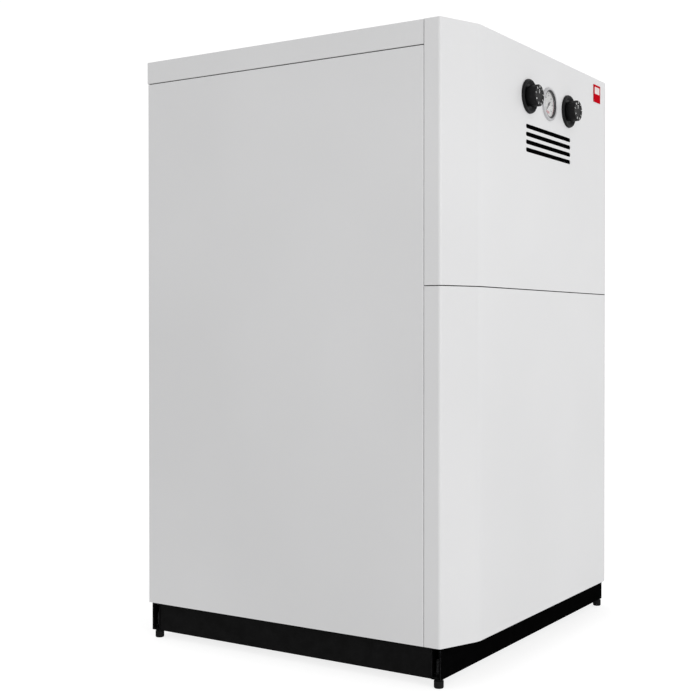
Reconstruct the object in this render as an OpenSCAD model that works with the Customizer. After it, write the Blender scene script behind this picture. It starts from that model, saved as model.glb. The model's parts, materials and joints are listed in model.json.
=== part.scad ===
// Floor-standing atmospheric gas boiler: a cast-iron sectional heat exchanger over a burner assembly,
// inside a sheet-steel casing on a low black base.
// Frame: +Z up, floor at z = 0, the front faces -Y, the origin is the centre of the footprint.

/* [Casing] */
// Width over the side panels
casing_w = 700; // [690:1:760]
// Depth from the flat front face to the back panel
casing_d = 650; // [645:1:700]
// Height of the panels, without the base
casing_h = 1000; // [990:1:1060]
// Width of the slanted facet at each front corner
facet_w = 77; // [60:1:90]
// How far the flat front stands ahead of the side panels
facet_d = 30; // [20:1:40]
// Depth of the front panels' side returns
return_d = 30; // [28:1:40]
// Height of the lower front panel
lower_h = 576; // [560:1:600]
// Height of the top cover's turned-down edge
lid_h = 40; // [30:1:45]
// Thickness of the casing sheet
sheet_t = 1.2; // [1:0.1:1.5]
// Gap between panels that lie above one another
seam = 1.6; // [1.2:0.1:2]
// Gap between a side panel and the front panels
side_seam = 0.4; // [0.3:0.1:1.2]

/* [Base] */
// Height of the base channels
base_h = 52; // [50:1:60]
// Height that the feet show below the base
foot_h = 14; // [13:1:18]
// Diameter of a levelling foot
foot_d = 16; // [14:1:17]
// Distance from the casing's side to the end of a base channel
base_inset = 7.5; // [5:0.5:10]

/* [Controls] */
// Distance between the two knobs
knob_gap = 172; // [150:1:200]
// Diameter of a knob
knob_d = 38; // [34:1:42]
// Diameter of the round plate behind a knob
bezel_d = 60; // [56:1:70]
// How far a knob stands out of the front
knob_out = 21; // [20:1:26]
// Diameter of the gauge over its bezel
gauge_d = 60; // [58:1:64]
// Height of the knobs above the bottom of the casing
controls_up = 914; // [900:1:930]
// Number of air slots under the gauge
slot_count = 4; // [2:1:6]
// Length of an air slot
slot_w = 195; // [150:1:220]
// Height of an air slot
slot_h = 7.8; // [4:0.2:8.4]

/* [Heat exchanger] */
// Distance from one cast-iron section to the next
pitch = 88; // [84:1:88]
// Height of a section
section_h = 500; // [470:5:500]
// Depth of a section
section_d = 350; // [340:2:352]

/* [Connections] */
// Outside diameter of the flue spigot
flue_d = 180; // [150:5:200]
// How far the flue spigot stands out of the back
flue_out = 67; // [60:1:90]
// Outside diameter of the water pipes' thread
water_d = 59.6; // [47.8:0.1:59.6]
// Outside diameter of the gas pipe's thread
gas_d = 26.4; // [20.9:0.1:26.4]

/* [Hidden] */
$fn = 64;
fit = 0.05;      // radial running clearance between a shaft and its hole
touch = 0.1;     // gap between parts that rest against each other
bend_steps = 6;  // straight steps that make up one bend of a folded sheet

half_w = casing_w / 2;
z_case = foot_h + base_h;
z_top = z_case + casing_h;
z_seam = z_case + lower_h;
z_lid = z_top - lid_h;
z_controls = z_case + controls_up;
y_face = -(knob_out + casing_d + flue_out) / 2 + knob_out;
y_corner = y_face + facet_d;
y_join = y_corner + return_d;
y_rear = y_face + casing_d;

// Width of the flanges where the front panels meet the side panels
front_hem = 25;
side_flange = 40;
panel_flange = 18;
stud_x = half_w - 13;
stud_up = 60;

channel_d = 18;
channel_t = 3;
corner_t = 2;
channel_half = half_w - base_inset;
y_base = y_corner + 3;
y_base_rear = y_rear - 3;
rail_face = channel_half - 1.5;
deck_half = half_w - side_flange - 1;
foot_x = half_w - 15;
foot_stud_d = 8;

post_w = 25;
post_t = 2;
post_x = half_w - 50;
post_top = z_top - sheet_t - touch;

gaps = 5;                          // burner tubes, one under each gap between two sections
sections = gaps + 1;
stack_half = sections * pitch / 2;
z_stack = z_case + 234;
z_stack_top = z_stack + section_h;
y_stack = y_face + 158;
y_stack_rear = y_stack + section_d;
hub_y = y_stack + section_d / 2;
hub_up = 50;
hub_levels = [z_stack + hub_up, z_stack_top - hub_up];
rod_ys = [y_stack - 12, y_stack_rear + 12];
rod_levels = [hub_levels[0] + 52, hub_levels[1] - 125];
pipe_x = stack_half - pitch / 2;

collector_h = 110;
z_collector = z_stack_top + touch;
diverter_half = 170;
y_diverter = y_stack_rear + 2;
z_flue = z_stack_top + 5;
chamber_half = stack_half - 9;
z_burner = z_case + 139;
manifold_y = y_stack - 78;
manifold_r = 13.5;
valve_x = -130;
valve_y = y_stack - 95;
z_valve = z_burner + 95;
pilot_x = -pitch / 2;
piezo_x = 40;
gas_x = -stack_half - 21;
drain_y = y_stack - 60;
sight_x = 1.5 * pitch;
z_sight = z_stack - 34;

function unit(v) = v / norm(v);
function left_of(v) = [-v[1], v[0]];
function step(p, i) = unit(p[i + 1] - p[i]);
// The path p moved by t to its left, with mitred corners
function moved_left(p, t) = [for (i = [0 : len(p) - 1])
    let (a = step(p, max(i - 1, 0)), b = step(p, min(i, len(p) - 2)))
    p[i] + t * (left_of(a) + left_of(b)) / (1 + a * b)];
// One corner of a path, rounded with radius r
function corner(p, i, r) =
    let (a = step(p, i - 1), b = step(p, i),
         turn = a[0] * b[1] - a[1] * b[0],
         bend = acos(a * b),
         centre = p[i] + unit(b - a) * r / cos(bend / 2),
         from = p[i] - a * r * tan(bend / 2) - centre)
    [for (k = [0 : bend_steps])
        let (s = sign(turn) * bend * k / bend_steps)
        centre + [from[0] * cos(s) - from[1] * sin(s), from[0] * sin(s) + from[1] * cos(s)]];
// A path with every corner rounded: rs[i] is the radius at corner i, and 0 keeps it sharp
function rounded(p, rs) = [for (i = [0 : len(p) - 1])
    each (i == 0 || i == len(p) - 1 || rs[i] == 0 ? [p[i]] : corner(p, i, rs[i]))];
function reversed(p) = [for (i = [len(p) - 1 : -1 : 0]) p[i]];
// Outline of a folded sheet whose outer face follows p; the sheet lies to its left
function sheet_outline(p, rs, t) =
    concat(rounded(p, rs), reversed(rounded(moved_left(p, t), [for (r = rs) max(r - t, 0)])));

module folded(p, rs, t, h) { linear_extrude(h) polygon(sheet_outline(p, rs, t)); }
module at_both_sides() {
    children();
    mirror([1, 0, 0]) children();
}
module along_x(l, r) { rotate([0, 90, 0]) cylinder(h = l, r = r); }
module along_y(l, r) { rotate([-90, 0, 0]) cylinder(h = l, r = r); }
module hex(l, r) { cylinder(h = l, r = r, $fn = 6); }
module slab(low, high) { translate(low) cube(high - low); }
// A round tube or wire through the given points, a little fuller at its bends
module run(points, r) {
    for (i = [0 : len(points) - 2]) {
        a = points[i];
        d = points[i + 1] - a;
        translate(a) rotate([0, acos(d[2] / norm(d)), atan2(d[1], d[0])]) cylinder(h = norm(d), r = r);
        if (i > 0) translate(a) sphere(r = 1.08 * r);
    }
}
// A flat slot or tube profile with round ends, lying along X
module stadium(w, h) {
    square([w - h, h], center = true);
    for (s = [-1, 1]) translate([s * (w - h) / 2, 0]) circle(d = h);
}

// ---------- base ----------
// How far a foot stands behind the outer face of its channel, in front and at the rear
foot_in = [7.5, 11.5];
function foot_at(side, rear) =
    [side * foot_x, rear == 1 ? y_base_rear - foot_in[1] : y_base + foot_in[0]];

// A channel on its edge, open inwards, with a weld nut for a foot at each end; corner plates close
// its ends towards the rails
module channel(rear) {
    difference() {
        union() {
            difference() {
                slab([-channel_half, 0, foot_h], [channel_half, channel_d, z_case - touch]);
                slab([-channel_half - 1, channel_t, foot_h + channel_t],
                     [channel_half + 1, channel_d + 1, z_case - channel_t]);
            }
            for (s = [-1, 1]) translate([s * foot_x, foot_in[rear], foot_h + channel_t - 1]) hex(8, 7);
            at_both_sides()
                slab([channel_half - 60, channel_d - corner_t, foot_h + 1],
                     [channel_half, channel_d, z_case - 1]);
        }
        for (s = [-1, 1]) translate([s * foot_x, foot_in[rear], foot_h - 1])
            cylinder(h = 20, d = foot_stud_d + 2 * fit);
    }
}
module base_channels() {
    color([0.02, 0.02, 0.02]) {
        translate([0, y_base, 0]) channel(0);
        translate([0, y_base_rear, 0]) mirror([0, 1, 0]) channel(1);
    }
}
module base_rails() {
    y0 = y_base + channel_d + touch;
    y1 = y_base_rear - channel_d - touch;
    color([0.03, 0.03, 0.03]) at_both_sides() difference() {
        slab([rail_face - 20, y0, foot_h], [rail_face, y1, z_case - touch]);
        slab([rail_face - 21, y0 - 1, foot_h + channel_t],
             [rail_face - channel_t, y1 + 1, z_case - channel_t]);
    }
}
module base_deck() {
    color("gainsboro") difference() {
        slab([-deck_half, y_base + 5, z_case], [deck_half, y_base_rear - 5, z_case + 2]);
        slab([-190, y_stack + 40, z_case - 1], [190, y_stack_rear - 50, z_case + 3]);
    }
}
// Levelling foot: a stud with a round pad moulded on
module foot(side, rear) {
    r = foot_d / 2;
    color([0.04, 0.04, 0.04]) translate([each foot_at(side, rear), 0]) {
        cylinder(h = 2, r1 = r - 1.5, r2 = r);
        translate([0, 0, 2]) cylinder(h = foot_h - 4, r = r);
        translate([0, 0, foot_h - 2]) cylinder(h = 34, d = foot_stud_d);
    }
}

// ---------- casing ----------
// Outer face of the front panels in plan, from the left flange round to the right one
front_path = [[-half_w + front_hem, y_join], [-half_w, y_join], [-half_w, y_corner],
              [-half_w + facet_w, y_face], [half_w - facet_w, y_face],
              [half_w, y_corner], [half_w, y_join], [half_w - front_hem, y_join]];
front_bends = [0, 1.6, 6, 40, 40, 6, 1.6, 0];

// Horizontal flange of a front panel: from the face back to the plan line y
module front_flange(y) {
    inner = moved_left(front_path, sheet_t / 2);
    linear_extrude(sheet_t) intersection() {
        polygon(rounded(inner, front_bends));
        translate([-half_w, y_face]) square([casing_w, y - y_face]);
    }
}
module front_wall(z0, z1) {
    translate([0, 0, z0]) folded(front_path, front_bends, sheet_t, z1 - z0);
}
module upper_front_panel() {
    z0 = z_seam + seam / 2;
    color([0.88, 0.88, 0.88]) difference() {
        union() {
            front_wall(z0, z_top);
            translate([0, 0, z_top - sheet_t]) front_flange(y_join);
            translate([0, 0, z0]) front_flange(y_face + panel_flange);
            for (z = upper_stud_zs) at_both_sides() ball_stud(z, sheet_t / 2);
        }
        translate([0, y_face - 1, z_controls]) {
            along_y(5, gauge_d / 2 - 4);
            for (s = [-1, 1]) translate([s * knob_gap / 2, 0, 0]) along_y(5, 12);
        }
        for (z = slot_zs) translate([0, y_face + 3, z]) rotate([90, 0, 0])
            linear_extrude(5) stadium(slot_w, slot_h);
    }
}
slot_pitch = 13.7;
slot_zs = [for (i = [0 : slot_count - 1]) z_controls - 52.5 - i * slot_pitch];

module lower_front_panel() {
    z1 = z_seam - seam / 2;
    color([0.88, 0.88, 0.88]) {
        front_wall(z_case, z1);
        translate([0, 0, z1 - sheet_t]) front_flange(y_face + panel_flange);
        translate([0, 0, z_case]) front_flange(y_face + panel_flange);
    }
}
// Ball studs on the front panels' flanges and the clips that hold them
stud_zs = [z_case + stud_up, z_seam - stud_up];
upper_stud_zs = [z_seam + stud_up, z_lid - stud_up];
module ball_stud(z, sunk) {
    translate([stud_x, y_join - sunk, z]) {
        along_y(12 + sunk, 2.5);
        translate([0, 12 + sunk, 0]) sphere(r = 4);
    }
}
module panel_studs() { color("silver") at_both_sides() for (z = stud_zs) ball_stud(z, -touch); }
module panel_clips() {
    y0 = y_join + side_seam + sheet_t + touch;
    color([0.1, 0.1, 0.1]) at_both_sides() for (z = concat(stud_zs, upper_stud_zs))
        translate([stud_x, y0, z]) difference() {
        union() {
            translate([-11, 0, -11]) cube([22, 2, 22]);
            along_y(12, 7);
        }
        translate([0, -1, 0]) along_y(14, 4.3);
    }
}
module side_panel() {
    y0 = y_join + side_seam;
    y1 = y_rear - sheet_t - touch;
    h = z_lid - seam - z_case;
    path = [[-half_w + side_flange, y1], [-half_w, y1], [-half_w, y0], [-half_w + side_flange, y0]];
    color([0.85, 0.85, 0.85]) difference() {
        translate([0, 0, z_case]) union() {
            folded(path, [0, 1.6, 1.6, 0], sheet_t, h);
            for (z = [0, h - sheet_t])
                translate([-half_w + 0.6, y0 + 0.6, z]) cube([panel_flange, y1 - y0 - 1.2, sheet_t]);
        }
        for (z = concat(stud_zs, upper_stud_zs)) translate([-stud_x, y0 - 1, z]) along_y(5, 5.5);
    }
}
module side_panel_left() { side_panel(); }
module side_panel_right() { mirror([1, 0, 0]) side_panel(); }

module top_cover() {
    y0 = y_join + side_seam;
    path = [[half_w - 12, z_lid], [half_w, z_lid], [half_w, z_top], [-half_w, z_top],
            [-half_w, z_lid], [-half_w + 12, z_lid]];
    color([0.86, 0.86, 0.86]) {
        translate([0, y_rear, 0]) rotate([90, 0, 0])
            folded(path, [0, 1.6, 2, 2, 1.6, 0], sheet_t, y_rear - y0);
        for (y = [y0, y_rear - sheet_t])
            slab([-half_w + 0.6, y, z_lid + 0.4], [half_w - 0.6, y + sheet_t, z_top - 0.6]);
    }
}
module back_panel() {
    vents = 9;
    vent_pitch = 60;
    color([0.8, 0.8, 0.8]) difference() {
        slab([-half_w + 3, y_rear - sheet_t, z_case + 1], [half_w - 3, y_rear, z_lid - seam]);
        translate([0, y_rear - 5, z_flue]) along_y(10, flue_d / 2 + 2);
        for (z = hub_levels) translate([pipe_x, y_rear - 5, z]) along_y(10, water_d / 2 + 3);
        translate([gas_x, y_rear - 5, z_case + 64]) along_y(10, gas_d / 2 + 3);
        for (i = [0 : vents - 1], z = [0 : 18 : 90])
            translate([(i - (vents - 1) / 2) * vent_pitch * 0.9, y_rear + 3, z_stack + 130 + z])
                rotate([90, 0, 0]) linear_extrude(6) stadium(38, 6);
    }
}
// Plain square badge at the top right of the front
badge_x = half_w - facet_w - 45.5;
z_badge = z_top - 29.5;
module name_badge() {
    color([0.8, 0.05, 0.06]) translate([badge_x, y_face - touch, z_badge]) rotate([90, 0, 0]) {
        linear_extrude(1) square(34, center = true);
        linear_extrude(1.6) difference() {
            square(34, center = true);
            square(30, center = true);
        }
    }
}

// ---------- inner frame ----------
module post(y, turn) {
    z0 = z_case + 2 + touch;
    translate([post_x, y, z0]) scale([1, turn, 1]) linear_extrude(post_top - z0)
        polygon([[0, 0], [post_w, 0], [post_w, post_t], [post_t, post_t], [post_t, post_w], [0, post_w]]);
}
post_y = y_join + side_seam + sheet_t + touch;
post_y_rear = y_rear - 2 * sheet_t - 2 * touch;
module crossbar(y, turn, z) {
    translate([-post_x + touch, y, z]) scale([1, turn, 1]) difference() {
        cube([2 * post_x - 2 * touch, 20, 20]);
        translate([-1, 1.5, 1.5]) cube([2 * post_x + 2, 20, 20]);
    }
}
// Four corner posts that carry the top cover, and the bars across them
module inner_frame() {
    color("lightsteelblue") {
        at_both_sides() {
            post(post_y, 1);
            post(post_y_rear, -1);
        }
        crossbar(post_y, 1, z_seam - 10);
        crossbar(post_y, 1, z_lid - 28);
        crossbar(post_y_rear, -1, z_lid - 28);
    }
}
// Cross-recessed screws that hold the back panel
module casing_screws() {
    rows = 5;
    z0 = z_case + 40;
    rise = (z_lid - 40 - z0) / (rows - 1);
    color("silver") at_both_sides() for (i = [0 : rows - 1])
        translate([half_w - 16, y_rear + touch, z0 + i * rise]) difference() {
            union() {
                along_y(1, 5);
                translate([0, 1, 0]) rotate([-90, 0, 0]) cylinder(h = 1.4, r1 = 5, r2 = 3.4);
            }
            slab([-2.6, 1, -0.5], [2.6, 6, 0.5]);
            slab([-0.5, 1, -2.6], [0.5, 6, 2.6]);
        }
}

// ---------- heat exchanger ----------
hub_r = 46;
hub_bore = 33;
wall = 5;
web_t = 48;
rim_d = 14;
// One hollow cast-iron section, centred on x = 0, with ribs between its rims
module section() {
    w = pitch - 2 * touch;
    difference() {
        union() {
            slab([-web_t / 2, y_stack, z_stack], [web_t / 2, y_stack_rear, z_stack_top]);
            for (y = [y_stack, y_stack_rear - rim_d])
                slab([-w / 2, y, z_stack], [w / 2, y + rim_d, z_stack_top]);
            for (z = hub_levels) translate([-w / 2, hub_y, z]) along_x(w, hub_r);
            for (k = [1 : ribs])
                slab([-w / 2 + 6, y_stack + rim_d + k * rib_gap - 2.5, z_stack + 20],
                     [w / 2 - 6, y_stack + rim_d + k * rib_gap + 2.5, z_stack_top - 20]);
        }
        slab([-web_t / 2 + wall, y_stack + rim_d, z_stack + wall],
             [web_t / 2 - wall, y_stack_rear - rim_d, z_stack_top - wall]);
        for (z = hub_levels) translate([-w / 2 - 1, hub_y, z]) along_x(w + 2, hub_bore);
    }
}
ribs = 9;
rib_gap = (section_d - 2 * rim_d) / (ribs + 1);
lug_x = stack_half - 26;
// Lugs of an end section, in which the tie rods sit
module lugs() {
    for (y = rod_ys, z = rod_levels) translate([lug_x, y, z]) difference() {
        union() {
            along_x(24, 11);
            slab([0, y < 0 ? 0 : -13, -8], [24, y < 0 ? 13 : 0, 8]);
        }
        translate([-1, 0, 0]) along_x(26, 6.5);
    }
}
module section_left_end() {
    color("dimgray") union() {
        translate([-stack_half + pitch / 2, 0, 0]) section();
        mirror([1, 0, 0]) lugs();
    }
}
// The right end section also carries the pipe bosses at the back and the drain boss at the front
module section_right_end() {
    color("dimgray") difference() {
        union() {
            translate([pipe_x, 0, 0]) section();
            lugs();
            for (z = hub_levels) translate([pipe_x, y_stack_rear - 2, z]) along_y(14, 38);
            translate([pipe_x, y_stack - 12, hub_levels[0]]) along_y(14, 18);
        }
        for (z = hub_levels) translate([pipe_x, y_stack_rear - 20, z]) along_y(50, water_d / 2 + 0.3 + touch);
        translate([pipe_x, y_stack - 20, hub_levels[0]]) along_y(60, 10.6);
    }
}
module middle_sections() {
    color("dimgray") for (i = [1 : sections - 2])
        translate([(i - (sections - 1) / 2) * pitch, 0, 0]) section();
}
module section_nipples() {
    color("darkgray") for (i = [0 : gaps - 1], z = hub_levels)
        translate([(i - (gaps - 1) / 2) * pitch - 22, hub_y, z]) difference() {
            along_x(44, hub_bore - fit);
            translate([-1, 0, 0]) along_x(46, 28);
        }
}
module tie_rods() {
    l = 2 * stack_half + 18;
    color("silver") for (y = rod_ys, z = rod_levels) {
        translate([-l / 2, y, z]) along_x(l, 6);
        at_both_sides() translate([stack_half - 2 + touch, y, z]) rotate([0, 90, 0]) difference() {
            hex(8, 9);
            translate([0, 0, -1]) cylinder(h = 10, r = 6.02);
        }
    }
}
// Plugs of the outer ports; the upper left one holds the brass pocket for the sensor bulbs
module port_plugs() {
    color("dimgray") {
        at_both_sides() for (z = hub_levels) translate([stack_half - 12, hub_y, z]) {
            along_x(12, hub_bore - fit);
            translate([12 + touch, 0, 0]) {
                along_x(5, 40);
                translate([5, 0, 0]) rotate([0, 90, 0]) hex(8, 16);
            }
            translate([11, 0, 0]) along_x(2, 30);
        }
        translate([-stack_half - 13 - 12, hub_y, hub_levels[1]]) difference() {
            along_x(13, 9);
            translate([-1, 0, 0]) along_x(13, 6);
        }
    }
}
module water_pipe(z) {
    r = water_d / 2 + 0.3;
    translate([pipe_x, 0, z]) difference() {
        union() {
            translate([0, y_stack_rear - 10, 0]) along_y(y_rear + 30 - y_stack_rear + 10, r);
            translate([0, y_rear + 28, 0]) rotate([-90, 0, 0]) hex(7, r + 7);
            translate([0, y_rear + 30, 0]) along_y(30, water_d / 2);
        }
        translate([0, y_stack_rear - 11, 0]) along_y(casing_d, water_d / 2 - 4);
    }
}
module flow_and_return_pipes() { color("gray") for (z = hub_levels) water_pipe(z); }

// Foil-faced mineral wool: front, two sides, lower back and top
wool = 25;
module insulation_panels() {
    y0 = y_stack - 50;
    s = stack_half + 2;
    color("lightgray") {
        difference() {
            slab([-s, y0, z_stack], [s, y0 + wool, z_stack_top]);
            translate([pipe_x, y0 - 1, hub_levels[0]]) along_y(wool + 2, 20);
        }
        at_both_sides() difference() {
            slab([s, y_stack + 2, z_stack], [s + wool, y_stack_rear - 2, z_stack_top]);
            for (z = hub_levels) translate([s - 1, hub_y, z]) along_x(wool + 2, 44);
        }
        difference() {
            slab([-s, y_stack_rear + 24, z_stack], [s, y_stack_rear + 24 + wool, z_stack + 320]);
            translate([pipe_x, y_stack_rear, hub_levels[0]]) along_y(90, 42);
        }
        slab([-stack_half + 20, y_stack + 62, z_collector + collector_h + 6],
             [stack_half - 20, y_stack_rear - 30, z_collector + collector_h + 6 + wool]);
    }
}

// ---------- flue ----------
t_flue = 1.5;
// Side outline of the collector, drawn t inside its outer face
function collector_side(t) =
    [[y_stack + t, -1], [y_stack + t, 42 - t / 2], [y_stack + 60 + t / 2, collector_h - t],
     [y_stack_rear - t, collector_h - t], [y_stack_rear - t, -1]];
module collector_solid(t) {
    translate([-stack_half + t, 0, z_collector]) rotate([90, 0, 90])
        linear_extrude(2 * stack_half - 2 * t) polygon(collector_side(t));
}
duct_half = 140;
duct_low = z_collector + 25;
duct_high = z_collector + collector_h - 12;
module flue_collector() {
    top = z_collector + collector_h;
    color("silver") difference() {
        collector_solid(0);
        collector_solid(t_flue);
        slab([-stack_half - 1, y_stack - 1, z_collector - 2],
             [stack_half + 1, y_stack_rear + 1, z_collector]);
        slab([-duct_half, y_stack_rear - 5, duct_low], [duct_half, y_stack_rear + 5, duct_high]);
        slab([-190, y_stack + 80, top - 5], [190, y_stack_rear - 50, top + 5]);
    }
}
module cleaning_cover() {
    z = z_collector + collector_h + touch;
    color("lightgray") union() {
        slab([-200, y_stack + 70, z], [200, y_stack_rear - 40, z + 1.5]);
        for (x = [-160, 160], y = [y_stack + 75, y_stack_rear - 45]) translate([x, y, z]) hex(4.5, 4.5);
    }
}
module draught_diverter() {
    y1 = y_rear - sheet_t - 8;
    z0 = z_stack + 340;
    z1 = duct_high + 14;
    inner = diverter_half - t_flue;
    color("silver") {
        difference() {
            slab([-diverter_half, y_diverter, z0], [diverter_half, y1, z1]);
            slab([-inner, y_diverter + t_flue, z0 - 1], [inner, y1 - t_flue, z1 - t_flue]);
            slab([-duct_half, y_diverter - 1, duct_low], [duct_half, y_diverter + 5, duct_high]);
            translate([0, y1 - 5, z_flue]) along_y(10, flue_d / 2 - 3.4);
        }
        // Baffle that keeps a down-draught off the burner
        slab([-inner - 0.5, y_diverter + 40, z0 + 20], [inner + 0.5, y_diverter + 41.5, z0 + 90]);
    }
}
module flue_spigot() {
    y0 = y_rear - sheet_t - 8;
    r = flue_d / 2;
    color("silver") difference() {
        union() {
            translate([0, y0 + touch, z_flue]) along_y(12, r - 2);
            translate([0, y_rear + touch, z_flue]) along_y(3, r + 8);
            translate([0, y_rear, z_flue]) along_y(flue_out, r);
        }
        translate([0, y0 - 1, z_flue]) along_y(flue_out + 30, r - 3.5);
    }
}

// ---------- combustion chamber and burner ----------
t_chamber = 2;
z_chamber = z_case + 2 + touch;
module combustion_chamber() {
    color("slategray") difference() {
        slab([-chamber_half, y_stack + 2, z_chamber], [chamber_half, y_stack_rear - 2, z_stack - touch]);
        slab([-chamber_half + t_chamber, y_stack, z_chamber - 1],
             [chamber_half - t_chamber, y_stack_rear - 2 - t_chamber, z_stack + 1]);
    }
    // Bar on which the rear ends of the burner tubes rest
    z = z_burner - tube_h / 2 - touch;
    color("slategray") difference() {
        slab([-chamber_half + 1, y_stack + 288, z - 12], [chamber_half - 1, y_stack + 302, z]);
        slab([-chamber_half, y_stack + 290, z - 13], [chamber_half, y_stack + 303, z - 2]);
    }
}
module chamber_boards() {
    x = chamber_half - t_chamber - touch;
    y1 = y_stack_rear - 2 - t_chamber - touch;
    z0 = z_burner - 22;
    color("linen") {
        at_both_sides() slab([x - 20, y_stack + 3, z0], [x, y1, z_stack - 2]);
        slab([-x + 20 + touch, y1 - 20, z0], [x - 20 - touch, y1, z_stack - 2]);
    }
}
module burner_front_plate() {
    color("silver") difference() {
        slab([-chamber_half, y_stack + touch, z_burner - 62],
             [chamber_half, y_stack + 2 - touch, z_stack - touch]);
        for (i = [0 : gaps - 1]) translate([tube_x(i), y_stack + 5, z_burner]) rotate([90, 90, 0])
            linear_extrude(10) stadium(tube_h + 0.4, tube_w + 0.4);
        translate([sight_x, y_stack - 5, z_sight]) along_y(10, 10);
        slab([pilot_x - 19, y_stack - 5, z_burner - 36], [pilot_x + 19, y_stack + 5, z_burner - 18]);
    }
}
tube_w = 40;
tube_h = 56;
tube_l = 350;
function tube_x(i) = (i - (gaps - 1) / 2) * pitch;
// A stainless burner tube: flared mouth in front, closed at the back, flame slots along the top
module burner_tube() {
    y0 = y_stack - 40;
    difference() {
        union() {
            translate([0, y0 + tube_l, 0]) rotate([90, 90, 0]) linear_extrude(tube_l) stadium(tube_h, tube_w);
            translate([0, y0 + 8, 0]) rotate([90, 90, 0]) linear_extrude(8) stadium(tube_h + 8, tube_w + 8);
        }
        translate([0, y0 + tube_l - 2, 0]) rotate([90, 90, 0]) linear_extrude(tube_l)
            stadium(tube_h - 2.4, tube_w - 2.4);
        for (k = [0 : 11]) translate([-9, y0 + 66 + k * 23, 20]) cube([18, 6, 20]);
    }
}
module burner_tubes() {
    color([0.62, 0.6, 0.56]) for (i = [0 : gaps - 1]) translate([tube_x(i), 0, z_burner]) burner_tube();
}
manifold_half = 2 * pitch + 42;
module gas_manifold() {
    color("gray") translate([0, manifold_y, z_burner]) {
        difference() {
            translate([-manifold_half, 0, 0]) along_x(2 * manifold_half, manifold_r);
            translate([-manifold_half + 3, 0, 0]) along_x(2 * manifold_half - 6, manifold_r - 2.5);
            for (i = [0 : gaps - 1]) translate([tube_x(i), 0, 0]) along_y(20, 5 + fit);
            translate([valve_x + 80, 0, 0]) cylinder(h = 20, r = 10 + touch);
        }
        // Brackets that carry the manifold from the front plate
        at_both_sides() difference() {
            slab([manifold_half, -20, -20], [manifold_half + 3, y_stack - manifold_y, 20]);
            translate([manifold_half - 1, 24, 0]) along_x(5, 4.2);
        }
    }
}
module injectors() {
    y0 = manifold_y + manifold_r - 2;
    color("goldenrod") for (i = [0 : gaps - 1]) translate([tube_x(i), y0, z_burner]) difference() {
        union() {
            along_y(8, 5);
            translate([0, 3, 0]) rotate([-90, 0, 0]) hex(8, 8);
            translate([0, 11, 0]) rotate([-90, 0, 0]) cylinder(h = 16, r1 = 5, r2 = 3);
        }
        translate([0, -1, 0]) along_y(22, 2.5);
        translate([0, 20, 0]) along_y(10, 0.8);
    }
}
// Valve block with its inlet and outlet, knob seat, coil cap and test points
module gas_valve() {
    translate([valve_x, valve_y, z_valve]) color("lightslategray") difference() {
        union() {
            slab([-42, -28, -30], [42, 28, 26]);
            slab([-30, -32, -20], [30, -28, 20]);
            translate([-52, 0, -4]) along_x(12, 20);
            translate([40, 0, -4]) along_x(12, 20);
            translate([22, 0, 24]) cylinder(h = 22, r = 15);
            translate([-24, -10, 24]) cylinder(h = 10, r = 8);
            translate([-24, 14, 24]) cylinder(h = 8, r = 4);
            translate([-6, 14, 24]) cylinder(h = 8, r = 4);
        }
        translate([-60, 0, -4]) along_x(24, gas_d / 2 + touch);
        translate([36, 0, -4]) along_x(24, gas_d / 2 + touch);
        translate([-10, -40, 0]) along_y(30, 4 + fit);
    }
    // Outlet pipe that turns down into the manifold
    color("gray") translate([0, valve_y, z_valve - 4])
        run([[valve_x + 38, 0, 0], [valve_x + 80, 0, 0], [valve_x + 80, manifold_y - valve_y, -40],
             [valve_x + 80, manifold_y - valve_y, z_burner + manifold_r - 3 - z_valve + 4]], 10);
}
spindle_y = valve_y - 38;
module valve_spindle() {
    color("silver") translate([valve_x - 10, spindle_y, z_valve]) along_y(22, 4);
}
module valve_knob() {
    y0 = spindle_y - 12;
    color([0.1, 0.1, 0.1]) translate([valve_x - 10, y0, z_valve]) difference() {
        union() {
            translate([0, 10, 0]) along_y(4, 19);
            along_y(10, 16);
            translate([-3, -6, -15]) cube([6, 8, 30]);
        }
        translate([0, 10, 0]) along_y(5, 4 + fit);
    }
}
gas_z = z_case + 64;
module gas_supply_pipe() {
    r = gas_d / 2 - 0.2;
    color("gray") difference() {
        union() {
            run([[gas_x, y_rear + 22, gas_z], [gas_x, valve_y, gas_z], [gas_x, valve_y, z_valve - 4],
                 [valve_x - 42 - 1, valve_y, z_valve - 4]], r);
            translate([gas_x, y_rear + 20, gas_z]) rotate([-90, 0, 0]) hex(5, r + 5);
            translate([gas_x, y_rear + 22, gas_z]) along_y(21, gas_d / 2);
        }
        translate([gas_x, y_rear - 20, gas_z]) along_y(80, r - 2.8);
    }
}

// ---------- pilot and ignition ----------
pilot_y = y_stack + 20;
plate_gap_z = z_burner - 27;
module pilot_burner() {
    y0 = y_stack + 2 + touch;
    color("silver") difference() {
        union() {
            slab([pilot_x - 20, y0, z_burner - 14], [pilot_x + 20, y_stack + 4, z_burner + 6]);
            slab([pilot_x - 20, y0, z_burner - 12], [pilot_x + 20, pilot_y + 8, z_burner - 10]);
            translate([pilot_x, pilot_y, z_burner - 20]) cylinder(h = 44, r = 5);
            translate([pilot_x, pilot_y, z_burner + 14]) cylinder(h = 12, r = 7);
        }
        translate([pilot_x, pilot_y, z_burner - 21]) cylinder(h = 12, r = 3 + fit);
        translate([pilot_x, pilot_y, z_burner + 10]) cylinder(h = 20, r = 3);
        for (s = [-1, 1]) translate([pilot_x + s * 13, pilot_y, z_burner - 20])
            cylinder(h = 20, r = 3.5 + fit);
    }
}
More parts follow.
